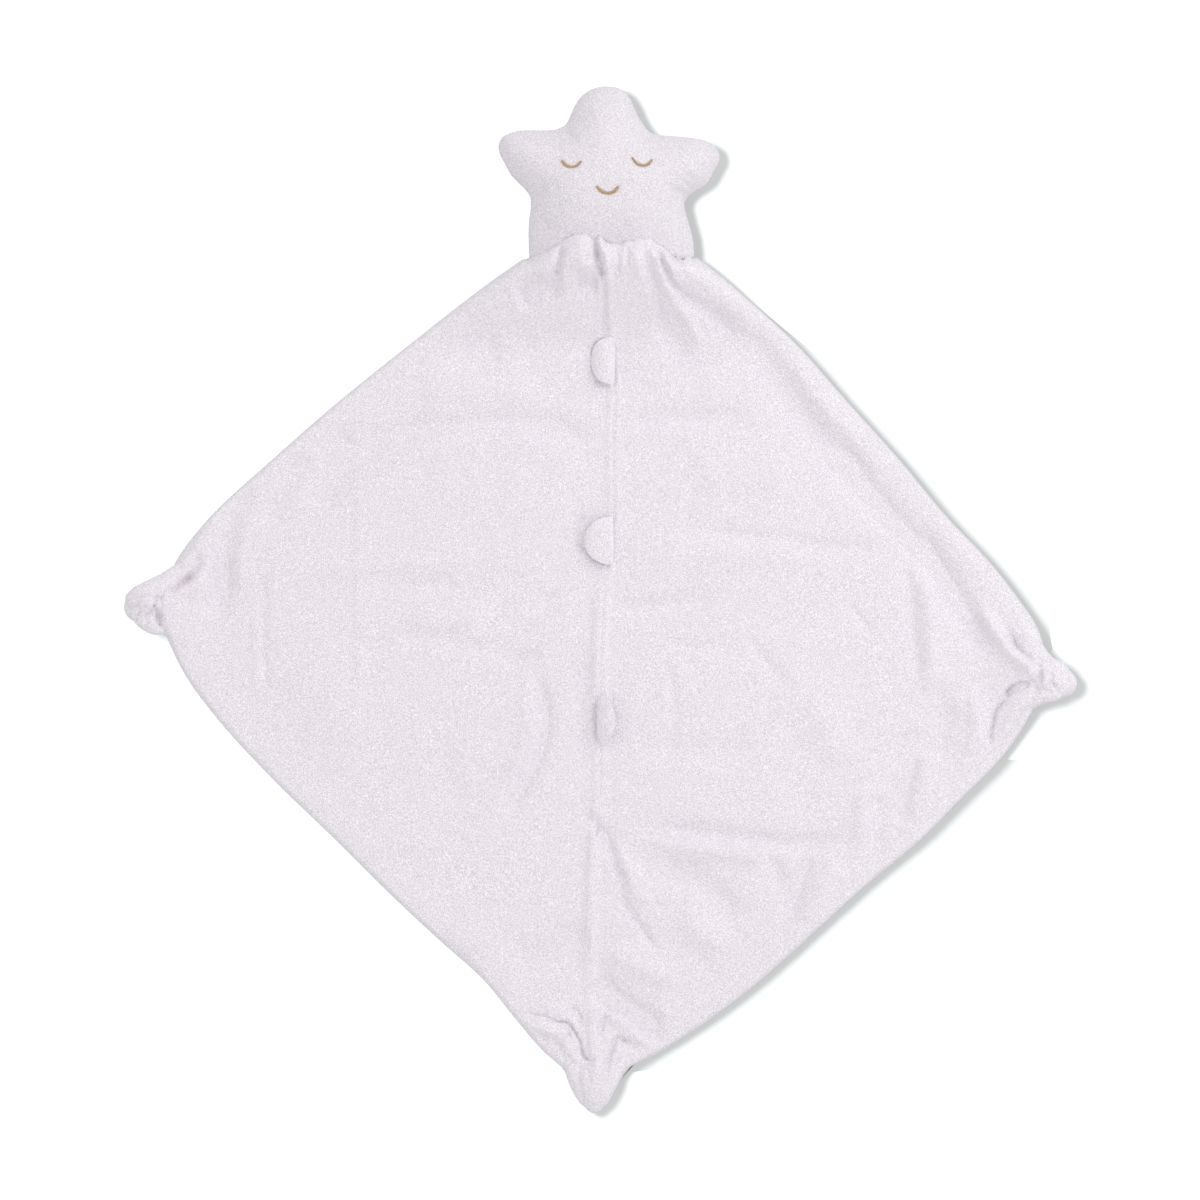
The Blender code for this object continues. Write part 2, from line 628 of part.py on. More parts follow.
def star_filling():
    """The whole filling as one star, clear of the covers and of the seam thread."""
    bm = bmesh.new()
    bmesh.ops.create_uvsphere(bm, u_segments=STAR_SEGMENTS, v_segments=STAR_RINGS, radius=1)
    inset = COVER + THREAD + GAP * 3
    unit = unit_places(bm.verts)
    front = HEAD_FRONT_RISE + THREAD + GAP * 2
    back = HEAD_BACK_DROP + THREAD + GAP * 2
    x, y, z = star_points(unit, inset, front, back)
    z = np.maximum(z, COVER + GAP)
    place_vertices(bm, x, y, z)
    bmesh.ops.recalc_face_normals(bm, faces=bm.faces)
    return bm


def arm_plane(point_name):
    """The plane across the root of a star point, and the way out along the point."""
    ends = []
    for angle in NOTCH_ANGLES[point_name]:
        radius = float(star_radius(angle))
        turn = math.radians(angle)
        ends.append(Vector((HEAD_X + radius * math.cos(turn), HEAD_Y + radius * math.sin(turn), 0)))
    along = (ends[1] - ends[0]).normalized()
    outward = Vector((along.y, -along.x, 0))
    return ends[0], outward


def filling(collection, parent):
    """Wads of filling: the middle, and one that swells and tapers in each star point."""
    middle = star_filling()
    for point_name in NOTCH_ANGLES:
        point, outward = arm_plane(point_name)
        arm = star_filling()
        keep_side(arm, point + outward * GAP / 2, outward)
        name = "filling_point_" + point_name
        make_object(name, arm, filling_material(name), collection, parent.location, parent)
        keep_side(middle, point - outward * GAP / 2, -outward)
    name = "filling_middle"
    make_object(name, middle, filling_material(name), collection, parent.location, parent)


def thread_path(x, y):
    """Points of a thread that lies on the back panel."""
    climb, _ = neck_lift(x, y, NECK_BACK_RISE)
    z = CLOTH + THREAD_RIDE + THREAD / 2 + climb + knot_lift(x, y)
    return [tuple(float(value) for value in place) for place in zip(x, y, z)]


def seam_thread(collection):
    """Thread that joins the two front panels, inside the blanket."""
    top = NECK_Y - GATHER_DEPTH * 2
    bottom = LEFT_EDGE_SHARES[-1][1] * HALF_LENGTH + THREAD_EDGE_INSET * 2
    y = np.linspace(top, bottom, 26)
    name = "centre_seam_thread"
    return make_tube(name, thread_path(seam_x(y), y), THREAD, thread_material(name), collection)


def edge_thread(collection):
    """Thread that joins the front and back panels, a seam allowance in from the edge."""
    top = LEFT_EDGE_SHARES[2][1] * HALF_LENGTH
    bottom = LEFT_EDGE_SHARES[-1][1] * HALF_LENGTH + THREAD_EDGE_INSET
    down = np.linspace(top, bottom, 32)
    sides = []
    for side in (-1, 1):
        x = edge_x(side, down)
        inset = THREAD_EDGE_INSET * np.sqrt(1 + np.minimum(np.gradient(x, down) ** 2, 2))
        sides.append(x - side * inset)
    left, right = sides
    across = np.linspace(left[-1], right[-1], 5)[1:-1]
    x = np.concatenate([left, across, right[::-1]])
    y = np.concatenate([down, np.full(len(across), bottom), down[::-1]])
    points = thread_path(x, y)
    name = "edge_seam_thread"
    return make_tube(name, points, THREAD, thread_material(name), collection)


def head_thread(collection, parent):
    """Thread that joins the head's covers, inside their rims."""
    count = round(STAR_SEGMENTS * STAR_TURN_SHARE) + 1
    edge, out, _ = star_edge(np.linspace(STAR_SHARES[0][0], STAR_SHARES[-1][0], count))
    line = edge - out * (COVER + GAP * 1.5 + THREAD / 2)
    points = [(float(x), float(y), HEAD_SEAM_Z) for x, y in line[1:-1]]
    name = "head_seam_thread"
    material = thread_material(name)
    return make_tube(name, points, THREAD, material, collection, parent.location, parent)


def neck_thread(collection, parent):
    """Hand stitches that close the neck, run round just below the covers' rims."""
    y = NECK_Y - GAP - THREAD / 2
    ends, _, _ = star_edge(np.array([STAR_SHARES[-1][0], STAR_SHARES[0][0]], float))
    left, right = ends[0][0] + COVER, ends[1][0] - COVER
    points = []
    for turn in np.linspace(0, 2 * math.pi, 33)[:-1]:
        x = (left + right) / 2 + (right - left) / 2 * math.cos(turn)
        swell = float(head_swell(np.array([[x, NECK_Y]]))[0])
        lift = HEAD_FRONT_RISE if math.sin(turn) > 0 else -HEAD_BACK_DROP
        points.append((x, y, HEAD_SEAM_Z + (lift - math.copysign(COVER / 2, lift)) * swell))
    name = "neck_seam_thread"
    material = thread_material(name)
    return make_tube(name, points, THREAD, material, collection, parent.location, parent)


def smile(name, centre, width, sag, thread, collection, parent):
    """One embroidered arc that hangs between its ends, laid on the head's front."""
    points = []
    for share in np.linspace(-1, 1, 9):
        x = HEAD_X + centre[0] + share * width / 2
        y = HEAD_Y + centre[1] - sag * (1 - share ** 2)
        z = float(head_front_z(np.array([[x, y]]))[0])
        points.append((x, y, z + GAP + thread / 2))
    material = face_thread_material(name)
    return make_tube(name, points, thread, material, collection, parent.location, parent)


def head(collection):
    pivot = bpy.data.objects.new("head_pivot", None)
    pivot.location = (HEAD_X, NECK_Y, HEAD_PIVOT_Z)
    collection.objects.link(pivot)
    head_cover(True, collection, pivot)
    head_cover(False, collection, pivot)
    filling(collection, pivot)
    head_thread(collection, pivot)
    neck_thread(collection, pivot)
    left, right = (EYE_LEFT_X, EYE_LEFT_Y), (EYE_RIGHT_X, EYE_RIGHT_Y)
    smile("eye_left", left, EYE_WIDTH, EYE_SAG, EYE_THREAD, collection, pivot)
    smile("eye_right", right, EYE_WIDTH, EYE_SAG, EYE_THREAD, collection, pivot)
    smile("mouth", (MOUTH_X, MOUTH_Y), MOUTH_WIDTH, MOUTH_SAG, MOUTH_THREAD, collection, pivot)


def tab_pivot(y):
    """A flap's hinge line: just above the seam, clear of the cloth all the way round."""
    ys = np.array([y - TAB_LENGTH / 2, y, y + TAB_LENGTH / 2])
    top = sheet_under_z(seam_x(ys), ys, np.zeros(3)).max() + CLOTH
    return Vector((float(seam_x(y)), y, float(top) + GAP + TAB_THICKNESS / 2))


def seam_tab(name, y, angle, collection):
    """A half-round flap with a full rim and a round root, at an angle from +X."""
    bm = bmesh.new()
    bmesh.ops.create_uvsphere(bm, u_segments=16, v_segments=8, radius=1)
    bmesh.ops.rotate(bm, verts=bm.verts, matrix=Matrix.Rotation(math.pi / 2, 3, "X"))
    for vertex in bm.verts:
        out, along, up = vertex.co
        beyond = out > FLAT_SHARE
        full = math.copysign(abs(up) ** TAB_FULLNESS_SHARE, up) if beyond else up
        reach = TAB_DEPTH if beyond else TAB_THICKNESS / 2
        vertex.co = (reach * out, TAB_LENGTH / 2 * along, TAB_THICKNESS / 2 * full)
    bmesh.ops.rotate(bm, verts=bm.verts, matrix=Matrix.Rotation(-angle, 3, "Y"))
    pivot = tab_pivot(y)
    bmesh.ops.translate(bm, verts=bm.verts, vec=pivot)
    return make_object(name, bm, plush_material(name), collection, pivot=pivot)


def knot_tail():
    """Turned body of a knot along +X: it starts on the hinge line, swells and tapers."""
    profile = [(0, 0)]
    profile += [(KNOT_LENGTH * share, KNOT_TAIL * radius) for share, radius in KNOT_PROFILE_SHARES]
    profile.append((KNOT_LENGTH, 0))
    bm = bmesh.new()
    verts = [bm.verts.new((x, radius, 0)) for x, radius in profile]
    edges = [bm.edges.new(pair) for pair in zip(verts, verts[1:])]
    bmesh.ops.spin(bm, geom=verts + edges, cent=(0, 0, 0), axis=(1, 0, 0),
                   angle=math.tau, steps=16, use_duplicate=False)
    bmesh.ops.remove_doubles(bm, verts=bm.verts, dist=GAP / 10)
    bmesh.ops.recalc_face_normals(bm, faces=bm.faces)
    return bm


def join_on(obj, other, cutters):
    """Join another mesh object to this one with a Boolean, and put it away."""
    for holder in list(other.users_collection):
        holder.objects.unlink(other)
    cutters.objects.link(other)
    other.hide_render = True
    other.display_type = "WIRE"
    joined = obj.modifiers.new(other.name, "BOOLEAN")
    joined.operation = "UNION"
    joined.solver = "EXACT"
    joined.object = other


def knot_root(name, place, heading):
    """The roll of cloth that leads into a knot, round about the hinge line."""
    bpy.ops.mesh.primitive_uv_sphere_add(segments=16, ring_count=10, radius=KNOT_ROOT)
    root = bpy.context.object
    root.name = name + "_root"
    wide = KNOT_ROOT_WIDTH / 2 / KNOT_ROOT
    turned = Matrix.Rotation(math.pi / 2, 4, "X")
    root.data.transform(Matrix.Scale(wide, 4, (0, 1, 0)) @ turned)
    root.location = place
    root.rotation_euler = (0, 0, heading)
    return root


def knot_wrap(name, place, heading):
    """The turn of cloth round a knot, a ring set askew and pressed flat."""
    bpy.ops.mesh.primitive_torus_add(major_segments=20, minor_segments=8,
                                     major_radius=KNOT_WRAP_RING, minor_radius=KNOT_WRAP_CORD)
    wrap = bpy.context.object
    wrap.name = name + "_wrap"
    flat = (KNOT_AXIS_Z - GAP) / (KNOT_WRAP_RING + KNOT_WRAP_CORD)
    turned = Matrix.Rotation(KNOT_WRAP_TILT, 4, "Z") @ Matrix.Rotation(math.pi / 2, 4, "Y")
    wrap.data.transform(Matrix.Scale(flat, 4, (0, 0, 1)) @ turned)
    forward = Vector((math.cos(heading), math.sin(heading), 0)) * KNOT_WRAP_FORWARD
    wrap.location = place + forward
    wrap.rotation_euler = (0, 0, heading)
    return wrap


def knot(name, place, heading, collection, cutters):
    """A tied corner: the roll that leads in, the tail, and a turn of cloth round it."""
    obj = make_object(name, knot_tail(), plush_material(name), collection)
    obj.location = place
    obj.rotation_euler = (0, 0, heading)
    join_on(obj, knot_root(name, place, heading), cutters)
    join_on(obj, knot_wrap(name, place, heading), cutters)
    return obj


def build():
    clear_scene()
    collection = new_collection("comfort_blanket")
    cutters = new_collection("cutters")
    front_panel(-1, collection)
    front_panel(1, collection)
    back_panel(collection)
    neck_gather(collection)
    seam_thread(collection)
    edge_thread(collection)
    head(collection)
    seam_tab("seam_tab_upper", TAB_UPPER_Y, TAB_UPPER_ANGLE, collection)
    seam_tab("seam_tab_middle", TAB_MIDDLE_Y, TAB_MIDDLE_ANGLE, collection)
    seam_tab("seam_tab_lower", TAB_LOWER_Y, TAB_LOWER_ANGLE, collection)
    for name, (place, heading) in knot_places().items():
        knot("corner_knot_" + name, place, heading, collection, cutters)


build()
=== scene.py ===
"""Looks of the comfort blanket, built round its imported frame.

Metres, in the frame of the CAD part: X to the right, Y towards the head, Z up, z = 0 is the floor.
Places on the cloth are written as pixels of the photograph's 1200 x 1200 frame, seen from above.
"""
import math
from itertools import product

import bmesh
import bpy
import numpy as np
from mathutils import Matrix, Vector


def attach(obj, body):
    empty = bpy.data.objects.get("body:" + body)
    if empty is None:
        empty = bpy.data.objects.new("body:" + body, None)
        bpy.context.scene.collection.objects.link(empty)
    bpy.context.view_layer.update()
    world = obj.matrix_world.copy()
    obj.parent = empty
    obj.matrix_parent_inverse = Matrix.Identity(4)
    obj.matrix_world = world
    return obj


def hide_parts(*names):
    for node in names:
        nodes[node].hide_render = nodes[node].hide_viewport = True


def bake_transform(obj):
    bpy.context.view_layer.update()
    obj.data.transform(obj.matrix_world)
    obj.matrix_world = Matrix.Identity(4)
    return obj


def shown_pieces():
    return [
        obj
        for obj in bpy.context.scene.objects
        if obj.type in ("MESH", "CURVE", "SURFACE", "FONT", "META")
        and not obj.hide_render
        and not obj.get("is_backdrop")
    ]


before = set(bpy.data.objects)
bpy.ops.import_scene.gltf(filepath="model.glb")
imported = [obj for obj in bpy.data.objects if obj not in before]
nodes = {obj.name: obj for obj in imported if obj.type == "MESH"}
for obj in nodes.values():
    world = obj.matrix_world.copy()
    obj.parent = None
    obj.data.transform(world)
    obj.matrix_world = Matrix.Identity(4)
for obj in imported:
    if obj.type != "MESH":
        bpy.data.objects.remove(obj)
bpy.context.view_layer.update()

MM = 0.001
PIXEL = 0.00042
MIDDLE_PX, MIDDLE_PY = 600, 601
FRAME_WIDTH = 1200 * PIXEL

# Sizes of the CAD part, repeated here
HALF_WIDTH, HALF_LENGTH = 0.2008, 0.2159
CLOTH, GAP, LOFT, LOFT_REACH = 0.0018, 0.0003, 0.0006, 0.012
EDGE_ROLL, EDGE_ROLL_INSET, EDGE_ROLL_REACH = 0.0016, 0.0060, 0.0050
NECK_Y, NECK_RISE, NECK_SIDE_RISE, NECK_BACK_RISE = 0.1432, 0.0262, 0.0098, 0.0030
THREAD, THREAD_RIDE = 0.0008, 0.0007
HEAD_X, HEAD_Y, HEAD_RADIUS = 0.0042, 0.1726, 0.0502
HEAD_SEAM_Z, HEAD_FRONT_RISE, HEAD_BACK_DROP = 0.0150, 0.0190, 0.0155
HEAD_SWELL_REACH, NECK_BLEND, NECK_RUN_ON, COVER = 0.0225, 0.0240, 0.0400, 0.0015
NECK_THICKNESS_SHARE, ARM_FULLNESS_SHARE = 0.55, 0.75
KNOT_AXIS_Z, KNOT_RISE, KNOT_REACH = 0.0075, 0.0036, 0.0320
KNOT_HINGES = {"left": (-0.184998, -0.0025), "right": (0.184998, -0.033), "bottom": (-0.0013, -0.200103)}
# The star's outline: degrees round the head, and its radius there as a share of the head's
STAR_SHARES = (
    (-40, 0.915), (-32, 0.820), (-20, 0.686), (-8, 0.636), (-2, 0.690), (4, 0.808),
    (10, 0.879), (16, 0.950), (22, 0.950), (28, 0.883), (34, 0.782), (43, 0.661),
    (55, 0.586), (64, 0.619), (70, 0.669), (76, 0.753), (82, 0.832), (90, 0.862),
    (98, 0.860), (106, 0.824), (112, 0.770), (118, 0.703), (124, 0.661), (130, 0.669),
    (136, 0.715), (142, 0.808), (148, 0.921), (154, 1.000), (160, 0.992), (166, 0.908),
    (172, 0.828), (178, 0.732), (184, 0.674), (192, 0.678), (202, 0.732), (214, 0.820),
    (221, 0.890),
)
STAR_FIRST, STAR_LAST = STAR_SHARES[0][0], STAR_SHARES[-1][0]

# Sizes of the cloth in this script alone
FRONT_GRID, BACK_GRID, UNDER_STEP = (409, 223), (289, 289), 6
NECK_RISE_FOOT_Y, NECK_RISE_TOP_Y = 0.103, 0.150
RIM, RIM_Z, HEM, HEM_SINK = 0.0024, 0.0026, 0.0056, 0.0003
RUFFLE_REACH, RUFFLE_TUFT, RUFFLE_TUFT_FINE = 0.045, 0.00045, 0.0002
SEAM_RIM, SEAM_DIP, SEAM_LAP = 0.0011, 0.0005, 0.0001
SEAM_RIDGE, SEAM_RIDGE_PLACE, SEAM_RIDGE_REACH = 0.0008, 0.0006, 0.0022
SEAM_FADE_Y, SEAM_FADE_REACH = -0.088, 0.020
RIPPLE_INSET, FOLD_INSET = 0.010, 0.004
BAND_RISE, BAND_REACH = 0.0009, 0.0046
KNOT_DRAW = 1.25
LAP_FOOT, LAP_FADE, LAP_CLEARANCE, LAP_GAP, DEEPEST_PLEAT = 0.012, 0.010, 0.0021, 0.0002, -0.0033
THINNEST, BACK_SAG, BACK_TOP_DROP, BACK_RIM_Z, BACK_BUMP = 0.0003, 0.0004, 0.0040, RIM_Z - 0.0003, 0.0002
PILE_CURLS, PILE_CLUMPS, PILE_FINE, PILE_BEND = 0.00006, 0.00001, 0.00012, 0.0012
SMALL_PILE, LOWEST = 0.8, 0.0002
RIPPLE_WIDE, RIPPLE_MIDDLE, RIPPLE_FINE = 0.00042, 0.00022, 0.00007
WANDER_WIDE, WANDER_FINE = 0.0006, 0.0003
FILLING_INSET, FILLING_CLEARANCE, FILLING_LUMP = 0.0034, 0.0030, 0.0006
FILLING_LOWEST, FILLING_FOOT_Z = 0.0034, 0.0036
STITCH_SPACING, STITCH_RISE, STITCH_BOW, STITCH_JITTER = 0.00046, 0.00055, 0.00075, 0.00005
STITCH_RADIUS = 0.00034
FLAP_LENGTH, FLAP_THICKNESS, FLAP_TAPER = 0.0204, 0.0026, 0.45
MELD_VOXEL, MELD_SMOOTH, KNOT_PILE = 0.00045, 5, 0.9

# Edges of the sheet and its centre seam, as shares of the half width and half length
LEFT_EDGE_SHARES = (
    (-0.150, 0.672), (-0.213, 0.632), (-0.280, 0.586), (-0.387, 0.508), (-0.544, 0.391),
    (-0.688, 0.274), (-0.822, 0.158), (-0.886, 0.080), (-0.906, 0.040), (-0.922, 0.012),
    (-0.922, -0.020), (-0.910, -0.060), (-0.888, -0.110), (-0.862, -0.154), (-0.799, -0.232),
    (-0.684, -0.348), (-0.554, -0.465), (-0.427, -0.582), (-0.337, -0.660), (-0.245, -0.737),
    (-0.176, -0.815), (-0.115, -0.880), (-0.074, -0.914), (-0.058, -0.936),
)
RIGHT_EDGE_SHARES = (
    (0.197, 0.672), (0.253, 0.632), (0.310, 0.586), (0.402, 0.508), (0.515, 0.391),
    (0.628, 0.274), (0.732, 0.158), (0.812, 0.080), (0.878, 0.002), (0.912, -0.045),
    (0.928, -0.085), (0.934, -0.120), (0.929, -0.160), (0.916, -0.192),
    (0.890, -0.240), (0.836, -0.311), (0.755, -0.387), (0.672, -0.465), (0.571, -0.543),
    (0.477, -0.621), (0.387, -0.698), (0.287, -0.776), (0.180, -0.846), (0.113, -0.884),
    (0.062, -0.908), (0.040, -0.936),
)
SEAM_SHARES = (
    (0.008, 0.672), (0.017, 0.527), (0.027, 0.469), (0.027, 0.294), (0.025, 0.119),
    (0.008, 0.021), (0.002, -0.076), (0.000, -0.232), (-0.002, -0.387), (-0.017, -0.543),
    (-0.023, -0.679), (-0.017, -0.796), (-0.008, -0.936),
)
TOP_Y, BOTTOM_Y = LEFT_EDGE_SHARES[0][1] * HALF_LENGTH, LEFT_EDGE_SHARES[-1][1] * HALF_LENGTH

# Top line of the gathered cloth on the head
RUFFLE_LINE = (
    (531, 259), (544, 253), (555, 247), (563, 241), (571, 237), (579, 235), (588, 236), (594, 241),
    (599, 238), (608, 243), (617, 245), (627, 242), (641, 239), (650, 239), (656, 244), (663, 248),
    (670, 254), (674, 259), (682, 259), (692, 258),
)
# Folds: height in mm (below nothing for a valley), reach in mm, then the line's points
FOLDS = (
    # gathers at the neck
    (-4.6, 1.5, (594, 238), (597, 254), (600, 268), (602, 282)),
    (-1.9, 1.6, (602, 276), (603, 296), (603, 318), (604, 340)),
    (-3.2, 1.6, (563, 243), (561, 256), (558, 268), (554, 280)),
    (1, 3.2, (579, 236), (580, 256), (582, 276)),
    (1.2, 2.6, (550, 252), (546, 266), (538, 280)),
    (1.0, 1.6, (600, 240), (606, 262), (610, 284)),
    (-0.9, 1.0, (616, 246), (618, 262), (618, 276)),
    (-1.1, 1.0, (628, 246), (628, 258), (627, 270)),
    (0.9, 2.0, (636, 242), (639, 262), (642, 284)),
    (-1.7, 2.2, (642, 244), (648, 267), (653, 283), (658, 304), (664, 330)),
    (1.8, 2.4, (650, 242), (660, 272), (673, 298), (688, 322), (704, 350)),
    (-2.6, 1.3, (655, 243), (662, 262), (671, 280), (683, 296)),
    (-2.6, 3.2, (672, 284), (684, 297), (700, 306), (720, 320), (738, 338)),
    (1.3, 1.6, (664, 250), (668, 260), (674, 274)),
    (-2.4, 0.9, (671, 256), (674, 259), (679, 260), (688, 260)),
    (-4.4, 5.4, (566, 284), (548, 287), (530, 292), (514, 302)),
    (-3.8, 4.2, (600, 284), (588, 284), (574, 288)),
    (-1.6, 4.6, (656, 312), (670, 338), (688, 364)),
    (1.0, 9.0, (520, 330), (560, 318), (596, 322)),
    # creases kept from storage
    (-3, 5, (336, 486), (352, 466), (370, 448), (394, 435), (430, 428), (470, 426), (540, 424),
     (572, 432), (592, 460)),
    (1.8, 8, (410, 396), (470, 388), (545, 388)),
    (1.6, 8, (400, 448), (450, 436), (520, 434), (566, 448)),
    (-2.4, 4.3, (622, 424), (668, 418), (710, 419), (756, 410)),
    (1, 4.3, (240, 572), (300, 568), (400, 564), (487, 560), (560, 562)),
    (-1, 4.4, (361, 588), (410, 587), (466, 586)),
    (1.4, 5, (400, 622), (440, 620), (490, 616)),
    (-1, 4, (392, 633), (440, 640), (490, 650), (540, 662)),
    (-1.8, 3.8, (680, 531), (720, 534), (760, 539), (800, 544), (850, 548), (900, 549)),
    (1.7, 8, (636, 560), (680, 556), (740, 553), (830, 554)),
    (-1.8, 3.6, (612, 609), (640, 607), (684, 602), (716, 595)),
    (-2.5, 3.8, (636, 828), (660, 830), (700, 833), (740, 838), (790, 844), (826, 844), (858, 836)),
    (2.4, 4.5, (648, 842), (690, 848), (740, 854), (790, 858)),
    (-0.3, 1.8, (354, 430), (352, 520), (353, 620), (352, 736)),
    (0.5, 2.9, (359, 440), (357, 560), (358, 720)),
    (0.6, 2.3, (258, 600), (257, 650), (258, 700)),
    (-0.8, 1.9, (262, 566), (263, 620), (264, 690)),
    (-2.7, 3.1, (537, 668), (543, 700), (546, 725), (537, 758), (522, 788), (500, 820)),
    (-1.2, 2.2, (508, 666), (520, 660), (544, 654)),
    (1.4, 4, (528, 690), (524, 740), (512, 780)),
    # left half, broad
    (-2.6, 6.4, (352, 428), (338, 456), (324, 486), (313, 512)),
    (-2.2, 6.4, (306, 450), (290, 478), (274, 506), (265, 532)),
    (-2.4, 5.8, (258, 478), (241, 510), (228, 550), (219, 590), (216, 624)),
    (2.1, 4.9, (210, 536), (204, 566), (206, 600)),
    (1.7, 4, (250, 506), (240, 540), (238, 590)),
    (1.5, 14, (420, 480), (480, 476), (540, 480)),
    (1.2, 12, (300, 640), (330, 700), (370, 760)),
    (-1.1, 8, (430, 850), (470, 800), (500, 760)),
    (1.5, 9, (455, 920), (480, 950), (500, 970)),
    (-2.3, 8, (508, 962), (540, 956), (566, 950), (580, 920)),
    (-1.6, 4, (582, 650), (580, 700), (584, 760)),
    (-1.0, 6, (440, 740), (448, 780), (470, 810)),
    (-1.2, 4, (549, 590), (546, 604), (552, 616)),
    (-1.6, 9, (452, 342), (478, 348), (502, 340)),
    (1.3, 2.4, (596, 770), (593, 850), (591, 920), (592, 975)),
    (-1.6, 2.2, (587, 512), (580, 524), (579, 540), (584, 556)),
    (-1.8, 1.3, (597, 700), (596, 722), (597, 745)),
    # right half, broad
    (-2.2, 9.5, (735, 336), (762, 367), (799, 409), (832, 445), (874, 488)),
    (-3.4, 8.5, (826, 440), (862, 476), (894, 512), (920, 548)),
    (2.7, 5, (780, 356), (838, 426), (894, 498), (946, 566)),
    (-4.2, 6, (905, 520), (930, 556), (948, 584), (968, 616), (990, 646), (1004, 660)),
    (-1.4, 2.9, (905, 552), (911, 600), (915, 640), (919, 690)),
    (2.5, 4.6, (926, 570), (930, 620), (932, 680), (926, 720)),
    (-2.8, 6, (932, 676), (938, 716), (930, 762)),
    (2.2, 5, (960, 690), (972, 722), (964, 756)),
    (-3.2, 7.5, (908, 726), (910, 760), (903, 795), (896, 830)),
    (2.4, 4.9, (924, 742), (922, 780), (906, 826)),
    (2.1, 4.6, (866, 784), (864, 820), (862, 850)),
    (-1.8, 3.5, (876, 792), (876, 824), (868, 850)),
    (-2.8, 3.8, (812, 850), (797, 884), (784, 918)),
    (-2.3, 4.1, (762, 848), (774, 868), (784, 894)),
    (2.2, 4, (836, 858), (820, 892), (800, 924)),
    (-1.2, 2, (851, 604), (858, 616), (868, 632)),
    (-1.1, 2.9, (748, 640), (768, 664), (786, 690)),
    (-0.9, 2.9, (660, 640), (700, 648), (742, 640)),
    (-0.8, 2.2, (668, 660), (674, 720), (670, 760)),
    (1.5, 13, (690, 480), (760, 470), (800, 486)),
    (-1.1, 6, (636, 740), (690, 752), (760, 742)),
    (1.4, 7, (800, 690), (830, 730), (850, 770)),
    # below the lower crease
    (-2.7, 2.4, (583, 810), (595, 824), (607, 844), (619, 872), (624, 894)),
    (2.4, 4.3, (607, 846), (631, 878), (645, 908)),
    (-2.5, 6, (650, 872), (690, 878), (720, 902), (742, 928)),
    (2.4, 6, (676, 912), (702, 934), (730, 952)),
    (-1.8, 1.8, (618, 893), (636, 921), (658, 949)),
    (2.4, 6, (604, 954), (640, 966), (680, 984)),
    # bottom corner
    (-4.6, 4.8, (598, 974), (608, 994), (624, 1008), (645, 1022), (662, 1037)),
    (2.4, 2.8, (606, 1012), (622, 1022), (638, 1036), (648, 1052)),
    (-2.0, 1.1, (634, 1047), (625, 1042), (617, 1040), (611, 1053), (606, 1070)),
    (-1.6, 1.5, (609, 1014), (601, 1024), (597, 1038)),
    (1.2, 2.2, (597, 1000), (593, 1020), (592, 1044), (596, 1066)),
    (-1, 0.7, (524, 1013), (543, 1017), (553, 1021), (566, 1023)),
    (-1.7, 0.7, (556, 1022), (566, 1023), (574, 1030), (579, 1040), (582, 1052)),
    (-1.8, 0.7, (579, 1046), (583, 1054), (592, 1063)),
    (1.5, 2.0, (520, 1026), (545, 1030), (560, 1038), (570, 1052), (580, 1066)),
    (-1.2, 0.8, (573, 1033), (562, 1041), (558, 1050)),
    (-1.0, 0.8, (568, 1007), (577, 1012), (581, 1019), (579, 1027)),
    (0.9, 2.4, (540, 1006), (562, 1014), (574, 1022)),
    (-0.8, 1.6, (530, 1030), (542, 1038), (546, 1046)),
    # left corner
    (-3, 1.2, (168, 592), (175, 587), (184, 581), (191, 574)),
    (-1.8, 2.3, (178, 584), (188, 576), (196, 566), (200, 552)),
    (1.7, 2.6, (160, 590), (172, 576), (186, 560), (198, 540), (214, 520)),
    (1.0, 4.0, (184, 600), (200, 580), (212, 556)),
    (-0.8, 5.0, (218, 556), (222, 590), (216, 626)),
    # right corner
    (-1.9, 1, (1010, 634), (1016, 644), (1026, 656), (1036, 665)),
    (-1.4, 2.4, (1004, 628), (1012, 640), (1022, 652)),
    (3.6, 2.9, (978, 602), (992, 626), (1008, 648), (1024, 664), (1040, 676)),
    (-5.6, 1.2, (1031, 683), (1022, 685), (1014, 689), (1005, 698)),
    (-2.2, 0.9, (1008, 696), (997, 710), (991, 732), (990, 748)),
    (1.6, 3.0, (1040, 694), (1022, 704), (1010, 722), (1004, 742)),
    (1.2, 3.4, (974, 690), (980, 716), (978, 746)),
    (-1.0, 2.6, (962, 690), (966, 720), (962, 752)),
    (0.8, 2.4, (1020, 624), (1032, 643), (1040, 658)),
    (1.8, 8, (936, 540), (968, 592), (1000, 640), (1026, 664)),
)
# Raised strip along the centre seam, between the middle flap and the lower one
BAND_LINE = ((601, 586), (600, 640), (599, 700))
PIT_DEPTH = -5.5    # folds deeper than this, in mm, have steep sides
FOLD_END = 0.12    # share of a fold's height that is left at its ends


def ease(value):
    value = np.clip(value, 0, 1)
    return value * value * (3 - 2 * value)


def bell(distance, reach):
    return np.exp(-(distance / reach) ** 2)


def hump(distance, reach):
    return np.clip(1 - (distance / reach) ** 2, 0, 1) ** 3


def rounded(distance, reach):
    """A quarter circle's rise, from 0 to 1 over the reach."""
    return np.sqrt(np.clip(1 - (1 - np.clip(distance / reach, 0, 1)) ** 2, 0, 1))


def fade(along, reach):
    """0 at both ends of a line, 1 between them."""
    return ease(along / reach) * ease((1 - along) / reach)


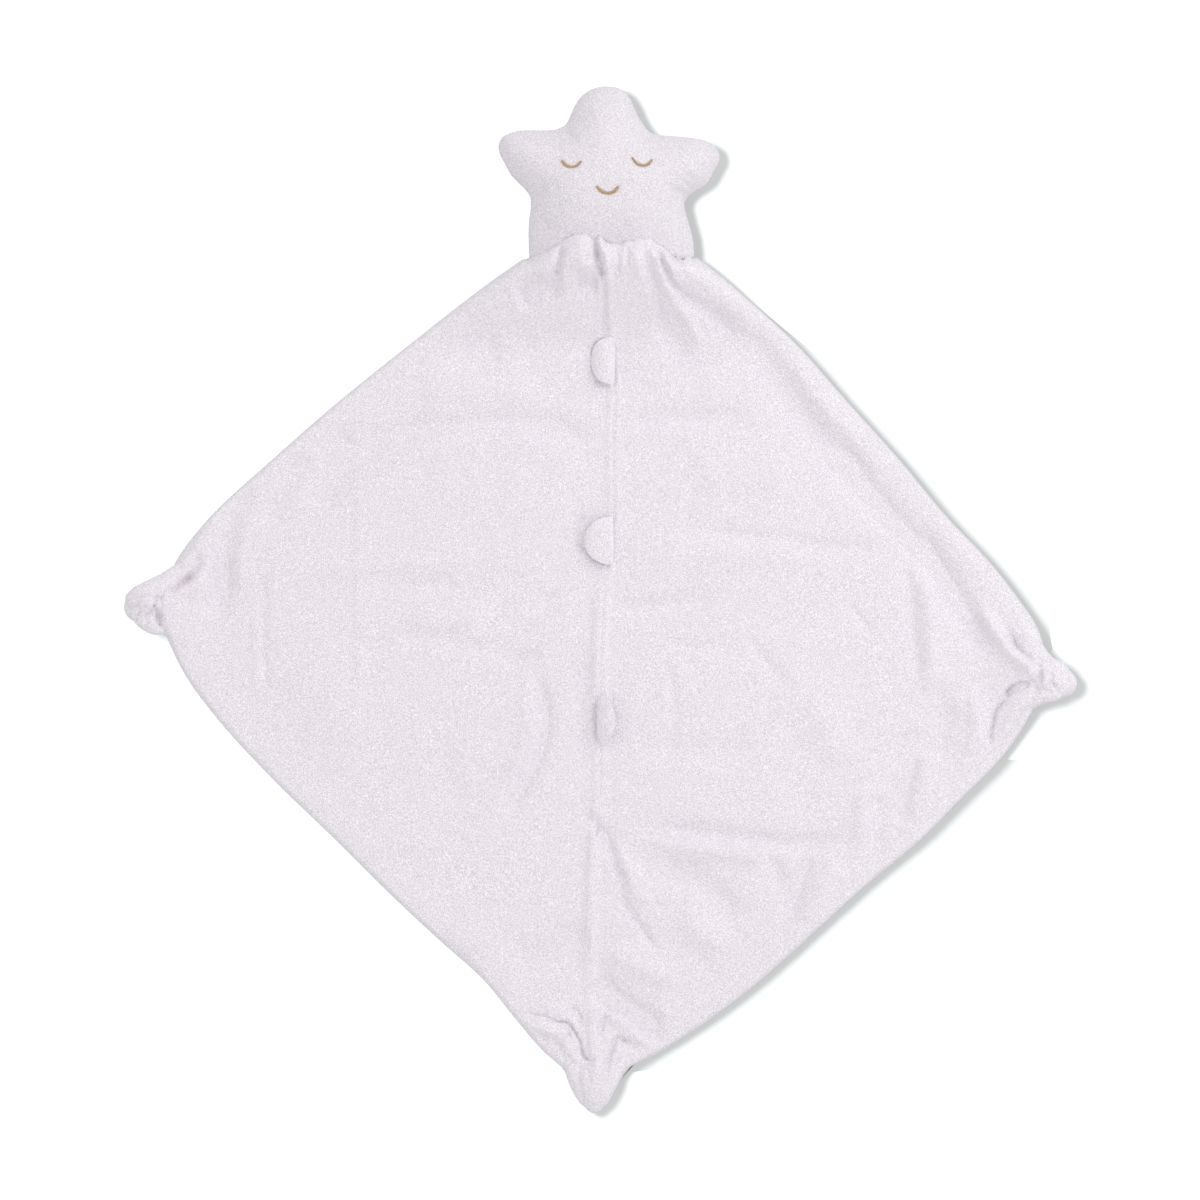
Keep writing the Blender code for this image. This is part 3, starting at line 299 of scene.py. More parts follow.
def smooth_table(pairs, where):
    """Read a smooth curve through (place, value) pairs."""
    places, values = (np.array(column, float) for column in zip(*pairs))
    slopes = np.gradient(values, places)
    where = np.clip(where, places[0], places[-1])
    index = np.clip(np.searchsorted(places, where) - 1, 0, len(places) - 2)
    span = places[index + 1] - places[index]
    t = (where - places[index]) / span
    near = (1 + 2 * t) * (1 - t) ** 2 * values[index] + t * (1 - t) ** 2 * span * slopes[index]
    far = t * t * (3 - 2 * t) * values[index + 1] - t * t * (1 - t) * span * slopes[index + 1]
    return near + far


def spot(px, py):
    """A pixel of the photograph as X and Y."""
    return (px - MIDDLE_PX) * PIXEL, (MIDDLE_PY - py) * PIXEL


def smooth_line(points, count=24):
    """A smooth line through pixel points, in metres."""
    line = np.array([spot(*point) for point in points])
    far = np.linalg.norm(np.diff(line, axis=0), axis=1)
    at = np.concatenate([[0], np.cumsum(far)])
    where = np.linspace(0, at[-1], count)
    return np.column_stack([smooth_table(list(zip(at, line[:, i])), where) for i in range(2)])


def line_x(shares, y):
    pairs = [(share_y, share_x) for share_x, share_y in reversed(shares)]
    return smooth_table(pairs, y / HALF_LENGTH) * HALF_WIDTH


def seam_x(y):
    return line_x(SEAM_SHARES, y)


def edge_x(side, y):
    return line_x(LEFT_EDGE_SHARES if side < 0 else RIGHT_EDGE_SHARES, y)


def nearest(points, line):
    """Distance to an open line, and the share of the way along it."""
    start, along = line[:-1], line[1:] - line[:-1]
    length = np.maximum((along ** 2).sum(axis=1), 1e-18)
    offset = points[:, None, :] - start[None, :, :]
    t = np.clip((offset * along).sum(axis=2) / length, 0, 1)
    away = np.linalg.norm(offset - t[..., None] * along, axis=2)
    best = away.argmin(axis=1)
    rows = np.arange(len(points))
    return away[rows, best], (best + t[rows, best]) / len(start)


def lattice_noise(points, cell, seed):
    """Smooth noise from -1 to 1 with features about one cell across."""
    table = np.random.default_rng(seed).random((32, 32, 32)) * 2 - 1
    place = points / cell + seed * 7.3
    whole = np.floor(place).astype(int)
    part = ease(place - whole)
    total = np.zeros(len(points))
    for corner in product((0, 1), repeat=3):
        share = np.where(corner, part, 1 - part)
        i, j, k = ((whole + corner) % 32).T
        total += share[:, 0] * share[:, 1] * share[:, 2] * table[i, j, k]
    return total


def noise_columns(points, cell, seed, count):
    return np.column_stack([lattice_noise(points, cell, seed + i) for i in range(count)])


def on_floor(x, y):
    """Places without height, for noise that depends on X and Y alone."""
    return np.column_stack([x, y, np.zeros(len(x))])


def pile(points):
    """Height of the curly pile, in metres: short curls in loose clumps."""
    bent = points + PILE_BEND * noise_columns(points, 0.004, 3, 3)
    curls = 1 - np.abs(lattice_noise(bent, 0.0021, 11)) * 2
    clumps = lattice_noise(points, 0.0052, 21)
    return PILE_CURLS * curls + PILE_CLUMPS * clumps + PILE_FINE * lattice_noise(points, 0.0013, 31)


def wander(points):
    """Shift points a little, so that a crease drawn through them isn't a clean line."""
    flat = on_floor(*points.T)
    points = points + WANDER_WIDE * noise_columns(flat, 0.0050, 91, 2)
    return points + WANDER_FINE * noise_columns(flat, 0.0020, 95, 2)


def fold_lift(points):
    """Height that the folds add at places on a front sheet."""
    lift = np.zeros(len(points))
    points = wander(points)
    for height, reach, *line in FOLDS:
        line, reach = smooth_line(line), reach * MM
        low, high = line.min(axis=0) - 3 * reach, line.max(axis=0) + 3 * reach
        near = np.flatnonzero(((points > low) & (points < high)).all(axis=1))
        if len(near):
            away, along = nearest(points[near], line)
            ends = FOLD_END + (1 - FOLD_END) * fade(along, 0.22)
            lift[near] += height * MM * ends * np.exp(-(away / reach) ** (4 if height < PIT_DEPTH else 2))
    return lift


def ripple(points):
    """Slow unevenness of cloth that lies loose."""
    flat = on_floor(*points.T)
    slow = RIPPLE_WIDE * lattice_noise(flat, 0.034, 41) + RIPPLE_MIDDLE * lattice_noise(flat, 0.015, 51)
    return slow + RIPPLE_FINE * lattice_noise(flat, 0.0075, 61)


# Star head

def star_radius(angle):
    angle = np.asarray(angle, float)
    star = smooth_table(STAR_SHARES, np.clip(angle, STAR_FIRST, STAR_LAST)) * HEAD_RADIUS
    below = (angle < STAR_FIRST) | (angle > STAR_LAST)
    drop = np.where(below, -np.sin(np.radians(angle)), 1)
    return np.where(below, (HEAD_Y - NECK_Y) / drop, star)


def star_edge(angle):
    turn = np.radians(angle)
    radius = star_radius(angle)
    return np.column_stack([HEAD_X + radius * np.cos(turn), HEAD_Y + radius * np.sin(turn)])


def star_outline():
    """The star's edge, run on past the neck so that the neck end stays thick."""
    line = star_edge(np.linspace(STAR_FIRST, STAR_LAST, 360))
    past = np.linspace(1, 0, 90)[:-1, None] * np.array([0, NECK_RUN_ON])
    return np.vstack([line[0] - past, line, line[-1] - past[::-1]])


STAR_LINE = star_outline()


def soft_inset(points):
    """Inset from the star's edge: true beside it, rounded off where two sides are as near."""
    middles = (STAR_LINE[1:] + STAR_LINE[:-1]) / 2
    lengths = np.linalg.norm(STAR_LINE[1:] - STAR_LINE[:-1], axis=1)
    inset = []
    for part in np.array_split(points, max(1, len(points) // 4000)):
        apart = np.linalg.norm(part[:, None, :] - middles[None, :, :], axis=2)
        apart = np.maximum(apart, lengths / 2)
        inset.append(((lengths / apart ** 4).sum(axis=1) * 2 / math.pi) ** (-1 / 3))
    return np.concatenate(inset)


def head_swell(points):
    """How full the head is at places in its outline, from 0 at its edge to 1."""
    fullness = np.clip(soft_inset(points) / HEAD_SWELL_REACH, 0, 1)
    arm = ARM_FULLNESS_SHARE + (1 - ARM_FULLNESS_SHARE) * fullness
    up = ease((points[:, 1] - NECK_Y) / NECK_BLEND)
    return rounded(fullness, 1) * arm * (NECK_THICKNESS_SHARE + (1 - NECK_THICKNESS_SHARE) * up)


def head_front_z(points):
    return HEAD_SEAM_Z + HEAD_FRONT_RISE * head_swell(points)


# Cloth

def neck_span(y):
    left, right = edge_x(-1, y), edge_x(1, y)
    return (left + right) / 2, (right - left) / 2


def neck_lift(x, y, rise):
    """Climb of the cloth onto the head, with its full rise in the middle of the neck."""
    middle, half = neck_span(np.minimum(y, TOP_Y))
    arch = np.sqrt(np.clip(1 - ((x - middle) / half) ** 2, 0, 1))
    climb = ease((y - NECK_RISE_FOOT_Y) / (NECK_RISE_TOP_Y - NECK_RISE_FOOT_Y))
    return climb * (NECK_SIDE_RISE + (rise - NECK_SIDE_RISE) * arch)


def knot_lift(x, y):
    return sum(KNOT_RISE * hump(np.hypot(x - kx, y - ky), KNOT_REACH) for kx, ky in KNOT_HINGES.values())


def edge_inset(side, x, y):
    """Distance in from the sheet's edge."""
    edge = edge_x(side, y)
    slope = (edge_x(side, y + MM) - edge_x(side, y - MM)) / (2 * MM)
    return np.abs(x - edge) / np.sqrt(1 + np.clip(slope, -2.5, 2.5) ** 2)


def ruffle_top(x):
    """Y of the ruffle's uneven top line."""
    line = np.array([spot(*point) for point in RUFFLE_LINE])
    along = on_floor(x, np.zeros(len(x)))
    tufts = RUFFLE_TUFT * lattice_noise(along, 0.0024, 101)
    tufts = tufts + RUFFLE_TUFT_FINE * lattice_noise(along, 0.0011, 102)
    return smooth_table(list(zip(*line.T)), x) + tufts


def upper_right(x, y):
    return ease((x / HALF_WIDTH + y / HALF_LENGTH) / 0.5)


def cloth_places(side, across, along):
    """X and Y of a front sheet's grid: across runs from the seam to the edge, along down from the ruffle."""
    row = TOP_Y + (BOTTOM_Y - TOP_Y) * along
    x_top = seam_x(TOP_Y) + (edge_x(side, TOP_Y) - seam_x(TOP_Y)) * across
    y = row + (ruffle_top(x_top) - TOP_Y) * ease(1 - (TOP_Y - row) / RUFFLE_REACH)
    inner = seam_x(y) - side * SEAM_LAP
    return inner + (edge_x(side, y) - inner) * across, y


def over_head(points):
    right, left = star_edge(np.array([STAR_FIRST, STAR_LAST]))[:, 0]
    return (points[:, 0] > left) & (points[:, 0] < right)


def cloth_top(side, x, y):
    """Height of a front sheet's upper face, with the inset from its edge and the distance to the seam."""
    points = np.column_stack([x, y])
    inset = edge_inset(side, x, y)
    from_seam = np.abs(x - seam_x(y))
    climb, knots = neck_lift(x, y, NECK_RISE), knot_lift(x, y) * KNOT_DRAW
    lift = THREAD_RIDE + THREAD + LOFT * (1 - bell(from_seam, LOFT_REACH))
    roll_share = 0.25 + 0.65 * upper_right(x, y)
    lift = lift + EDGE_ROLL * roll_share * bell(inset - EDGE_ROLL_INSET, EDGE_ROLL_REACH)
    lift = lift + SEAM_RIDGE * bell(from_seam - SEAM_RIDGE_PLACE, SEAM_RIDGE_REACH)
    lift = lift + ripple(points) * ease(inset / RIPPLE_INSET)
    low = -(lift + np.maximum(knots, climb * 0.5) * 0.8)
    lift = lift + np.maximum(fold_lift(points) * ease(inset / FOLD_INSET), low)
    band, way = nearest(points, smooth_line(BAND_LINE))
    lift = lift + BAND_RISE * ease((1 - band / BAND_REACH) * 2) * ease(way / 0.2) * ease((1 - way) / 0.1)
    base = CLOTH + GAP + lift + climb + knots
    over = over_head(points) & (y > NECK_Y - LAP_FOOT)
    lap = np.zeros(len(x))
    pleats = np.maximum(fold_lift(points[over]), DEEPEST_PLEAT)
    lap[over] = head_front_z(points[over]) + GAP + LAP_CLEARANCE + pleats
    lap = lap * ease((y - NECK_Y + LAP_FOOT) / LAP_FADE)
    return np.where(over, np.maximum(base, lap), base) + CLOTH, inset, from_seam


def round_rims(x, y, z, inset, from_seam):
    """Turn the sheet down at its edge, at the centre seam and along the ruffle."""
    reach = RIM * (1 - 0.5 * ease((x / HALF_WIDTH - 0.35) / 0.5))
    floor = RIM_Z + neck_lift(x, y, NECK_RISE) + knot_lift(x, y)
    z = floor + (z - floor) * rounded(inset, reach)
    z = z - SEAM_DIP * bell(from_seam, SEAM_RIM) * (1 - 0.8 * ease((SEAM_FADE_Y - y) / SEAM_FADE_REACH))
    below = ruffle_top(x) - y
    at_hem = below < HEM
    rest = z.copy()
    rest[at_hem] = np.minimum(head_front_z(np.column_stack([x, y])[at_hem]) - HEM_SINK, z[at_hem])
    return rest + (z - rest) * rounded(below, HEM)


def normals_of(grid):
    down = np.gradient(grid, axis=0)
    across = np.gradient(grid, axis=1)
    normal = np.cross(across, down)
    normal /= np.maximum(np.linalg.norm(normal, axis=2, keepdims=True), 1e-12)
    return normal * np.where(normal[..., 2:].mean() < 0, -1, 1)


def closed_sheet(top, under):
    """Vertices and faces of a closed sheet: a fine face and a coarser one that share their rim."""
    rows, columns = top.shape[:2]
    step = UNDER_STEP
    verts = [tuple(place) for place in top.reshape(-1, 3)]
    number = np.arange(rows * columns).reshape(rows, columns)
    quads = np.stack([number[:-1, :-1], number[:-1, 1:], number[1:, 1:], number[1:, :-1]], axis=2)
    faces = quads.reshape(-1, 4).tolist()
    lower = {}
    for i in range(step, rows - 1, step):
        for j in range(step, columns - 1, step):
            lower[i, j] = len(verts)
            verts.append(tuple(under[i, j]))

    def corner(i, j):
        return lower.get((i, j), int(number[i, j]))

    for i in range(0, rows - 1, step):
        for j in range(0, columns - 1, step):
            ring = []
            k, m = i + step, j + step
            ring += [(i, c) for c in range(j, m)] if i == 0 else [(i, j)]
            ring += [(r, m) for r in range(i, k)] if m == columns - 1 else [(i, m)]
            ring += [(k, c) for c in range(m, j, -1)] if k == rows - 1 else [(k, m)]
            ring += [(r, j) for r in range(k, i, -1)] if j == 0 else [(k, j)]
            faces.append([corner(*place) for place in reversed(ring)])
    return verts, faces


def add_object(name, data):
    made = bpy.data.objects.new(name, data)
    bpy.context.scene.collection.objects.link(made)
    return made


def face_outward(mesh, weld=0):
    """Turn a closed mesh's faces outward, after joining points that lie within the weld distance."""
    bm = bmesh.new()
    bm.from_mesh(mesh)
    if weld:
        bmesh.ops.remove_doubles(bm, verts=bm.verts, dist=weld)
    bmesh.ops.recalc_face_normals(bm, faces=bm.faces)
    bm.to_mesh(mesh)
    bm.free()


def new_piece(name, verts, faces, material):
    mesh = bpy.data.meshes.new(name)
    mesh.from_pydata(verts, [], faces)
    mesh.validate()
    face_outward(mesh)
    mesh.shade_smooth()
    mesh.set_sharp_from_angle(angle=math.radians(75))
    mesh.materials.append(material)
    return add_object(name, mesh)


def spaced(count, *places):
    """Shares from 0 to 1, closer together near places of (share, reach, how much closer)."""
    even = np.linspace(0, 1, 2001)
    weight = 1 + sum(closer * bell(even - share, reach) for share, reach, closer in places)
    total = np.concatenate([[0], np.cumsum((weight[1:] + weight[:-1]) / 2)])
    return np.interp(np.linspace(0, total[-1], count), total, even)


def front_cloth(side, material):
    """Half of the front sheet: the left one for side -1, the right one for side 1."""
    rows, columns = FRONT_GRID
    along = spaced(rows, (0, 0.10, 0.9), (1, 0.09, 1.3))
    across = spaced(columns, (1, 0.12, 0.5))
    x, y = cloth_places(side, *(grid.ravel() for grid in np.meshgrid(across, along)))
    z, inset, from_seam = cloth_top(side, x, y)
    z = round_rims(x, y, z, inset, from_seam)
    top = np.column_stack([x, y, z]).reshape(rows, columns, 3)
    under = top.copy()
    low = np.maximum(z - CLOTH, CLOTH + GAP)
    points = np.column_stack([x, y])
    over = over_head(points) & (y > NECK_Y - 0.004)
    clear = head_front_z(points[over]) + LAP_GAP
    low[over] = np.maximum(low[over], np.minimum(clear, z[over] - THINNEST))
    under[..., 2] = low.reshape(rows, columns)
    row, column = np.arange(rows)[:, None], np.arange(columns)[None, :]
    rim = np.minimum(columns - 1 - column, np.minimum(row, rows - 1 - row))
    bumps = pile(top.reshape(-1, 3)).reshape(rows, columns, 1) * ease(rim / 3)[..., None]
    top = top + normals_of(top) * bumps
    name = "front_cloth_left" if side < 0 else "front_cloth_right"
    return new_piece(name, *closed_sheet(top, under), material)


def back_cloth(material):
    """The back sheet, flat on the floor and drawn up a little at the neck and the knots."""
    rows, columns = BACK_GRID
    grids = np.meshgrid(np.linspace(-1, 1, columns), np.linspace(0, 1, rows))
    across, along = (grid.ravel() for grid in grids)
    top_line = TOP_Y - BACK_TOP_DROP
    y = top_line + (BOTTOM_Y - top_line) * along
    middle, left = seam_x(y), across < 0
    x = middle + np.where(left, middle - edge_x(-1, y), edge_x(1, y) - middle) * across
    inset = np.where(left, edge_inset(-1, x, y), edge_inset(1, x, y))
    lift = neck_lift(x, y, NECK_BACK_RISE) + knot_lift(x, y)
    rim = rounded(inset, RIM)
    sag = BACK_SAG * (1 + lattice_noise(on_floor(x, y), 0.03, 71)) * (lift > 0.0005)
    low = BACK_RIM_Z * (1 - rim) + lift + sag
    top = np.column_stack([x, y, low]).reshape(rows, columns, 3)
    under = top.copy()
    under[..., 2] += np.minimum(CLOTH, 0.0004 + CLOTH * rim.reshape(rows, columns))
    cells_in = np.minimum(1 - np.abs(across), np.minimum(along, 1 - along) * 2) * (columns // 2)
    soft = ease(cells_in / 3).reshape(rows, columns, 1)
    bumps = np.minimum(pile(top.reshape(-1, 3)), BACK_BUMP).reshape(rows, columns, 1) + BACK_BUMP
    top[..., 2:] += bumps * soft * SMALL_PILE
    return new_piece("back_cloth", *closed_sheet(top, under), material)


# Head pieces

HEAD_FOLDS = (
    (-1.3, 1.4, (562, 122), (568, 134), (577, 143)),
    (-1.2, 1.4, (655, 126), (648, 137), (640, 146)),
    (-1.2, 1.6, (528, 200), (538, 192), (550, 186)),
    (-1.3, 1.3, (690, 204), (681, 194), (670, 188)),
    (-0.8, 0.9, (694, 196), (688, 186), (680, 180)),
    (-0.6, 0.9, (696, 188), (690, 178), (684, 172)),
    (-0.7, 1.6, (536, 214), (544, 222), (548, 236)),
    (-0.6, 2.0, (560, 206), (580, 212), (600, 210)),
    (-0.5, 4.0, (640, 222), (656, 214), (666, 200)),
    (0.5, 4.0, (620, 226), (640, 214), (654, 204)),
    (-2.6, 0.9, (671, 257), (673, 259), (676, 259.5)),
    (-0.45, 0.9, (558, 160), (562, 163), (570, 168.5), (581, 163), (584, 160)),
    (-0.45, 0.9, (629, 157), (632.5, 160), (642, 167), (652, 162), (655, 159)),
    (-0.55, 1.0, (593, 186), (597, 189), (607.5, 195), (618, 189), (622, 186)),
)


def pressed(points, folds):
    """Height of lines pressed into a form, or raised on it."""
    lift = np.zeros(len(points))
    for height, reach, *line in folds:
        away, along = nearest(points, smooth_line(line))
        lift += height * MM * (0.25 + 0.75 * fade(along, 0.3)) * bell(away, reach * MM)
    return lift


def bands(count, turns):
    """Faces between rings of points that follow one another."""
    faces = []
    for start in range(0, count * turns, turns):
        for k in range(turns):
            this, beside = start + k, start + (k + 1) % turns
            faces.append([this, beside, beside + turns, this + turns])
    return faces


def caps(turns, last, tip):
    """Faces that close the first ring to the point tip, and the ring from last on to the point after it."""
    faces = []
    for k in range(turns):
        beside = (k + 1) % turns
        faces += [[tip, beside, k], [tip + 1, last + k, last + beside]]
    return faces


def head_half(name, upper, material):
    """Half of the star: a fine outer face, closed by an inner face."""
    turns, rings = 480, 84
    below = np.linspace(STAR_LAST, STAR_FIRST + 360, 82)[1:-1]
    angle = np.concatenate([np.linspace(STAR_FIRST, STAR_LAST, 400), below])
    middle = np.array([HEAD_X, HEAD_Y])
    reach = star_edge(angle) - middle
    out = reach / np.linalg.norm(reach, axis=1, keepdims=True)
    share = np.sin(np.linspace(0, math.pi / 2, rings + 1))[1:, None, None]
    grid = middle + reach[None] * share
    sign, rise, least = (1, HEAD_FRONT_RISE, 0.00015) if upper else (-1, HEAD_BACK_DROP, LOWEST)
    at_edge = np.arange(turns * rings + 1) // turns == rings - 1
    at_neck = np.append(np.tile((angle < STAR_FIRST) | (angle > STAR_LAST), rings), False)
    swell = head_swell(np.vstack([grid.reshape(-1, 2), middle]))
    swell = np.where(at_edge & ~at_neck, 0, swell)

    def layer(shift):
        flat = np.vstack([(grid - out[None] * shift * share).reshape(-1, 2), middle])
        return flat, HEAD_SEAM_Z + sign * np.maximum((rise - shift) * swell, least)

    flat, z = layer(0)
    if upper:
        z = z + pressed(flat, HEAD_FOLDS) * ease(swell * 2)
    else:
        z = np.maximum(z, LOWEST)
    outer = np.column_stack([flat, z])
    outward = (flat - middle) / np.maximum(np.linalg.norm(flat - middle, axis=1, keepdims=True), 1e-9)
    normal = np.column_stack([outward * (1 - swell)[:, None], np.full(len(flat), sign)])
    normal /= np.linalg.norm(normal, axis=1, keepdims=True)
    height = pile(outer) * ease(swell * 6)
    if not upper:
        height = np.where(z < 0.004, np.minimum(height, 0), height)
    outer = outer + normal * height[:, None]
    flat, z = layer(COVER)
    inner = np.column_stack([flat, z if upper else np.maximum(z, COVER + LOWEST)])
    tip = turns * rings
    faces = bands(rings - 1, turns) + [[tip, (t + 1) % turns, t] for t in range(turns)]
    faces += [[tip + 1 + i for i in reversed(face)] for face in faces]
    a, b = tip - turns, 2 * tip + 1 - turns
    faces += [[a + t, a + (t + 1) % turns, b + (t + 1) % turns, b + t] for t in range(turns)]
    return new_piece(name, np.vstack([outer, inner]).tolist(), faces, material)


def filling_star(material):
    """The loose fibre inside the head, as one lumpy mass."""
    turns, rings = 160, 30
    angle = np.linspace(0, 360, turns, endpoint=False) - 90
    angle = np.where(angle < STAR_FIRST, angle + 360, angle)
    middle = np.array([HEAD_X, HEAD_Y])
    outline = star_edge(angle)
    reach = outline - middle
    edge = outline - reach / np.linalg.norm(reach, axis=1, keepdims=True) * FILLING_INSET
    verts = []
    for turn in np.linspace(0, math.pi, 2 * rings + 1)[1:-1]:
        share = math.sin(turn)
        swell = head_swell(middle + reach * share * 0.995)
        rise = (HEAD_FRONT_RISE if turn < math.pi / 2 else HEAD_BACK_DROP) - FILLING_CLEARANCE
        z = HEAD_SEAM_Z + np.sign(math.cos(turn)) * rise * swell * (abs(math.cos(turn)) > 1e-9)
        flat = middle + (edge - middle) * share
        verts += np.column_stack([flat, np.maximum(z, FILLING_LOWEST)]).tolist()
    tip = len(verts)
    verts = np.array(verts)
    lump = np.abs(lattice_noise(verts, 0.006, 81) * FILLING_LUMP)
    verts[:, 2] -= np.where(verts[:, 2] > HEAD_SEAM_Z, lump, -lump)
    top_z = HEAD_SEAM_Z + HEAD_FRONT_RISE - FILLING_INSET
    tips = [(HEAD_X, HEAD_Y, top_z), (HEAD_X, HEAD_Y, FILLING_FOOT_Z)]
    faces = bands(2 * rings - 2, turns) + caps(turns, tip - turns, tip)
    return new_piece("head_filling", np.vstack([verts, tips]).tolist(), faces, material)


def tube(points, radii, sides):
    """Vertices and faces of a closed round tube with tapering radii."""
    points = np.array(points, float)
    along = np.gradient(points, axis=0)
    along /= np.maximum(np.linalg.norm(along, axis=1, keepdims=True), 1e-12)
    side = np.cross(along, [0.13, 0.07, 1.0])
    side /= np.linalg.norm(side, axis=1, keepdims=True)
    verts = []
    for p, s, u, r in zip(points, side, np.cross(side, along), radii):
        for k in range(sides):
            a = 2 * math.pi * k / sides
            verts.append(tuple(p + r * (math.cos(a) * s + math.sin(a) * u)))
    faces = bands(len(points) - 1, sides) + caps(sides, len(verts) - sides, len(verts))
    return verts + [tuple(points[0]), tuple(points[-1])], faces


def merged(parts):
    verts, faces = [], []
    for part_verts, part_faces in parts:
        base = len(verts)
        verts += part_verts
        faces += [[base + i for i in face] for face in part_faces]
    return verts, faces


def satin_arc(name, arc, thread, material):
    """An embroidered arc: short slanting stitches packed along a line on the head's front."""
    line = smooth_line(arc, 60)
    steps = np.diff(line, axis=0)
    count = int(np.linalg.norm(steps, axis=1).sum() / STITCH_SPACING)
    ends = np.linspace(-1, 1, 7)
    radii = STITCH_RADIUS * np.sqrt(np.clip(1.08 - ends ** 2, 0.02, 1))
    rng = np.random.default_rng(5)
    parts = []
    for i in range(count + 1):
        share = i / count
        at = share * len(steps)
        low = min(int(at), len(steps) - 1)
        along = steps[low] / np.linalg.norm(steps[low])
        across = np.array([-along[1], along[0]])
        place = line[low] + steps[low] * (at - low) + across * thread * 0.30 * (rng.random() - 0.5)
        taper = 0.62 + 0.38 * min(1, 4 * min(share, 1 - share) + 0.3)
        half = thread * (0.36 + 0.40 * rng.random()) * taper
        flat = place + np.outer(ends * half, across * 0.86 + along * 0.5)
        z = head_front_z(flat) + pressed(flat, HEAD_FOLDS) + STITCH_RISE
        z = z - STITCH_BOW * ends ** 2 + STITCH_JITTER * rng.random()
        parts.append(tube(np.column_stack([flat, z]), radii, 6))
    return new_piece(name, *merged(parts), material)


# Flaps and knots

def seam_tab(name, place, width, root, tip, slant, material):
    """A half-round padded flap that curls from the root angle at the seam to the tip angle, in degrees."""
    turns, rings = 96, 48
    first = math.radians(root)
    verts = []
    for i in range(rings + 1):
        polar = math.pi * i / rings
        for k in range(turns):
            a = 2 * math.pi * k / turns
            out, up = math.sin(polar) * math.cos(a), math.sin(polar) * math.sin(a)
            share = max(out, 0)
            lean = math.radians(root + (tip - root) * share)
            spread = math.copysign(max(abs(lean - first), 1e-6), tip - root)
            across = share * width * (math.sin(first + spread) - math.sin(first)) / spread
            height = share * width * (math.cos(first) - math.cos(first + spread)) / spread
            height *= 1 - slant * math.cos(polar)
            pad = FLAP_THICKNESS / 2 * (1 - FLAP_TAPER * share) * math.copysign(abs(up) ** 0.8, up)
            behind = min(out, 0) * FLAP_THICKNESS / 5
            verts.append((place[0] + across - pad * math.sin(lean) + behind * math.cos(first),
                          place[1] + FLAP_LENGTH / 2 * math.cos(polar),
                          place[2] + height + pad * math.cos(lean) + behind * math.sin(first)))
    obj = new_piece(name, verts, bands(rings, turns), material)
    face_outward(obj.data, weld=1e-6)
    roughen(obj, SMALL_PILE)
    return obj


def push_out(obj, height_at):
    """Move a piece's points along their normals, by a height worked out from places and normals."""
    mesh = obj.data
    place, normal = (np.zeros(len(mesh.vertices) * 3) for _ in range(2))
    mesh.vertices.foreach_get("co", place)
    mesh.vertices.foreach_get("normal", normal)
    place, normal = place.reshape(-1, 3), normal.reshape(-1, 3)
    place = place + normal * height_at(place, normal)[:, None]
    place[:, 2] = np.maximum(place[:, 2], LOWEST)
    mesh.vertices.foreach_set("co", place.ravel())
    mesh.update()


def roughen(obj, strength):
    """Give a closed piece its curly pile."""
    push_out(obj, lambda place, normal: pile(place) * strength)


def blob(centre, radii, turn=0.0, tilt=0.0):
    """A stretched ball: centre in pixels and height in mm, radii in mm."""
    bm = bmesh.new()
    bmesh.ops.create_uvsphere(bm, u_segments=32, v_segments=20, radius=1)
    size = Matrix.Diagonal((radii[0] * MM, radii[1] * MM, radii[2] * MM, 1))
    spin = Matrix.Rotation(math.radians(turn), 4, "Z") @ Matrix.Rotation(math.radians(tilt), 4, "Y")
    x, y = spot(centre[0], centre[1])
    bmesh.ops.transform(bm, matrix=Matrix.Translation((x, y, centre[2] * MM)) @ spin @ size, verts=bm.verts)
    bm.verts.index_update()
    verts = [tuple(v.co) for v in bm.verts]
    faces = [[v.index for v in face.verts] for face in bm.faces]
    bm.free()
    return verts, faces


def roll(*stations):
    """A roll of cloth through stations of pixel x, pixel y, height in mm and radius in mm."""
    stations = np.array(stations, float)
    at = np.concatenate([[0], np.cumsum(np.linalg.norm(np.diff(stations[:, :2], axis=0), axis=1))])
    where = np.linspace(0, at[-1], 28)
    smooth = [smooth_table(list(zip(at, stations[:, i])), where) for i in range(4)]
    x, y = spot(smooth[0], smooth[1])
    points = np.column_stack([x, y, smooth[2] * MM])
    share = np.linspace(-1, 1, 28)
    radii = smooth[3] * MM * np.clip(1 - np.abs(share) ** 14, 0.02, 1) ** 0.5
    return tube(points, radii, 14)


def melded(name, parts, material, folds):
    """Join overlapping closed forms into one soft closed mesh, with creases in its upper side."""
    obj = new_piece(name, *merged(parts), material)
    bpy.context.view_layer.objects.active = obj
    remesh = obj.modifiers.new("meld", "REMESH")
    remesh.mode, remesh.voxel_size = "VOXEL", MELD_VOXEL
    soften = obj.modifiers.new("soften", "SMOOTH")
    soften.factor, soften.iterations = 0.5, MELD_SMOOTH
    mesh = bpy.data.meshes.new_from_object(obj.evaluated_get(bpy.context.evaluated_depsgraph_get()))
    obj.modifiers.clear()
    old, obj.data = obj.data, mesh
    mesh.name = name
    bpy.data.meshes.remove(old)
    if not mesh.materials:
        mesh.materials.append(material)
    mesh.shade_smooth()
    wrinkle(obj, folds)
    roughen(obj, KNOT_PILE)
    return obj


def wrinkle(obj, folds):
    """Press creases into the upper side of a form."""
    push_out(obj, lambda place, normal: pressed(wander(place[:, :2]), folds) * np.clip(normal[:, 2], 0, 1))


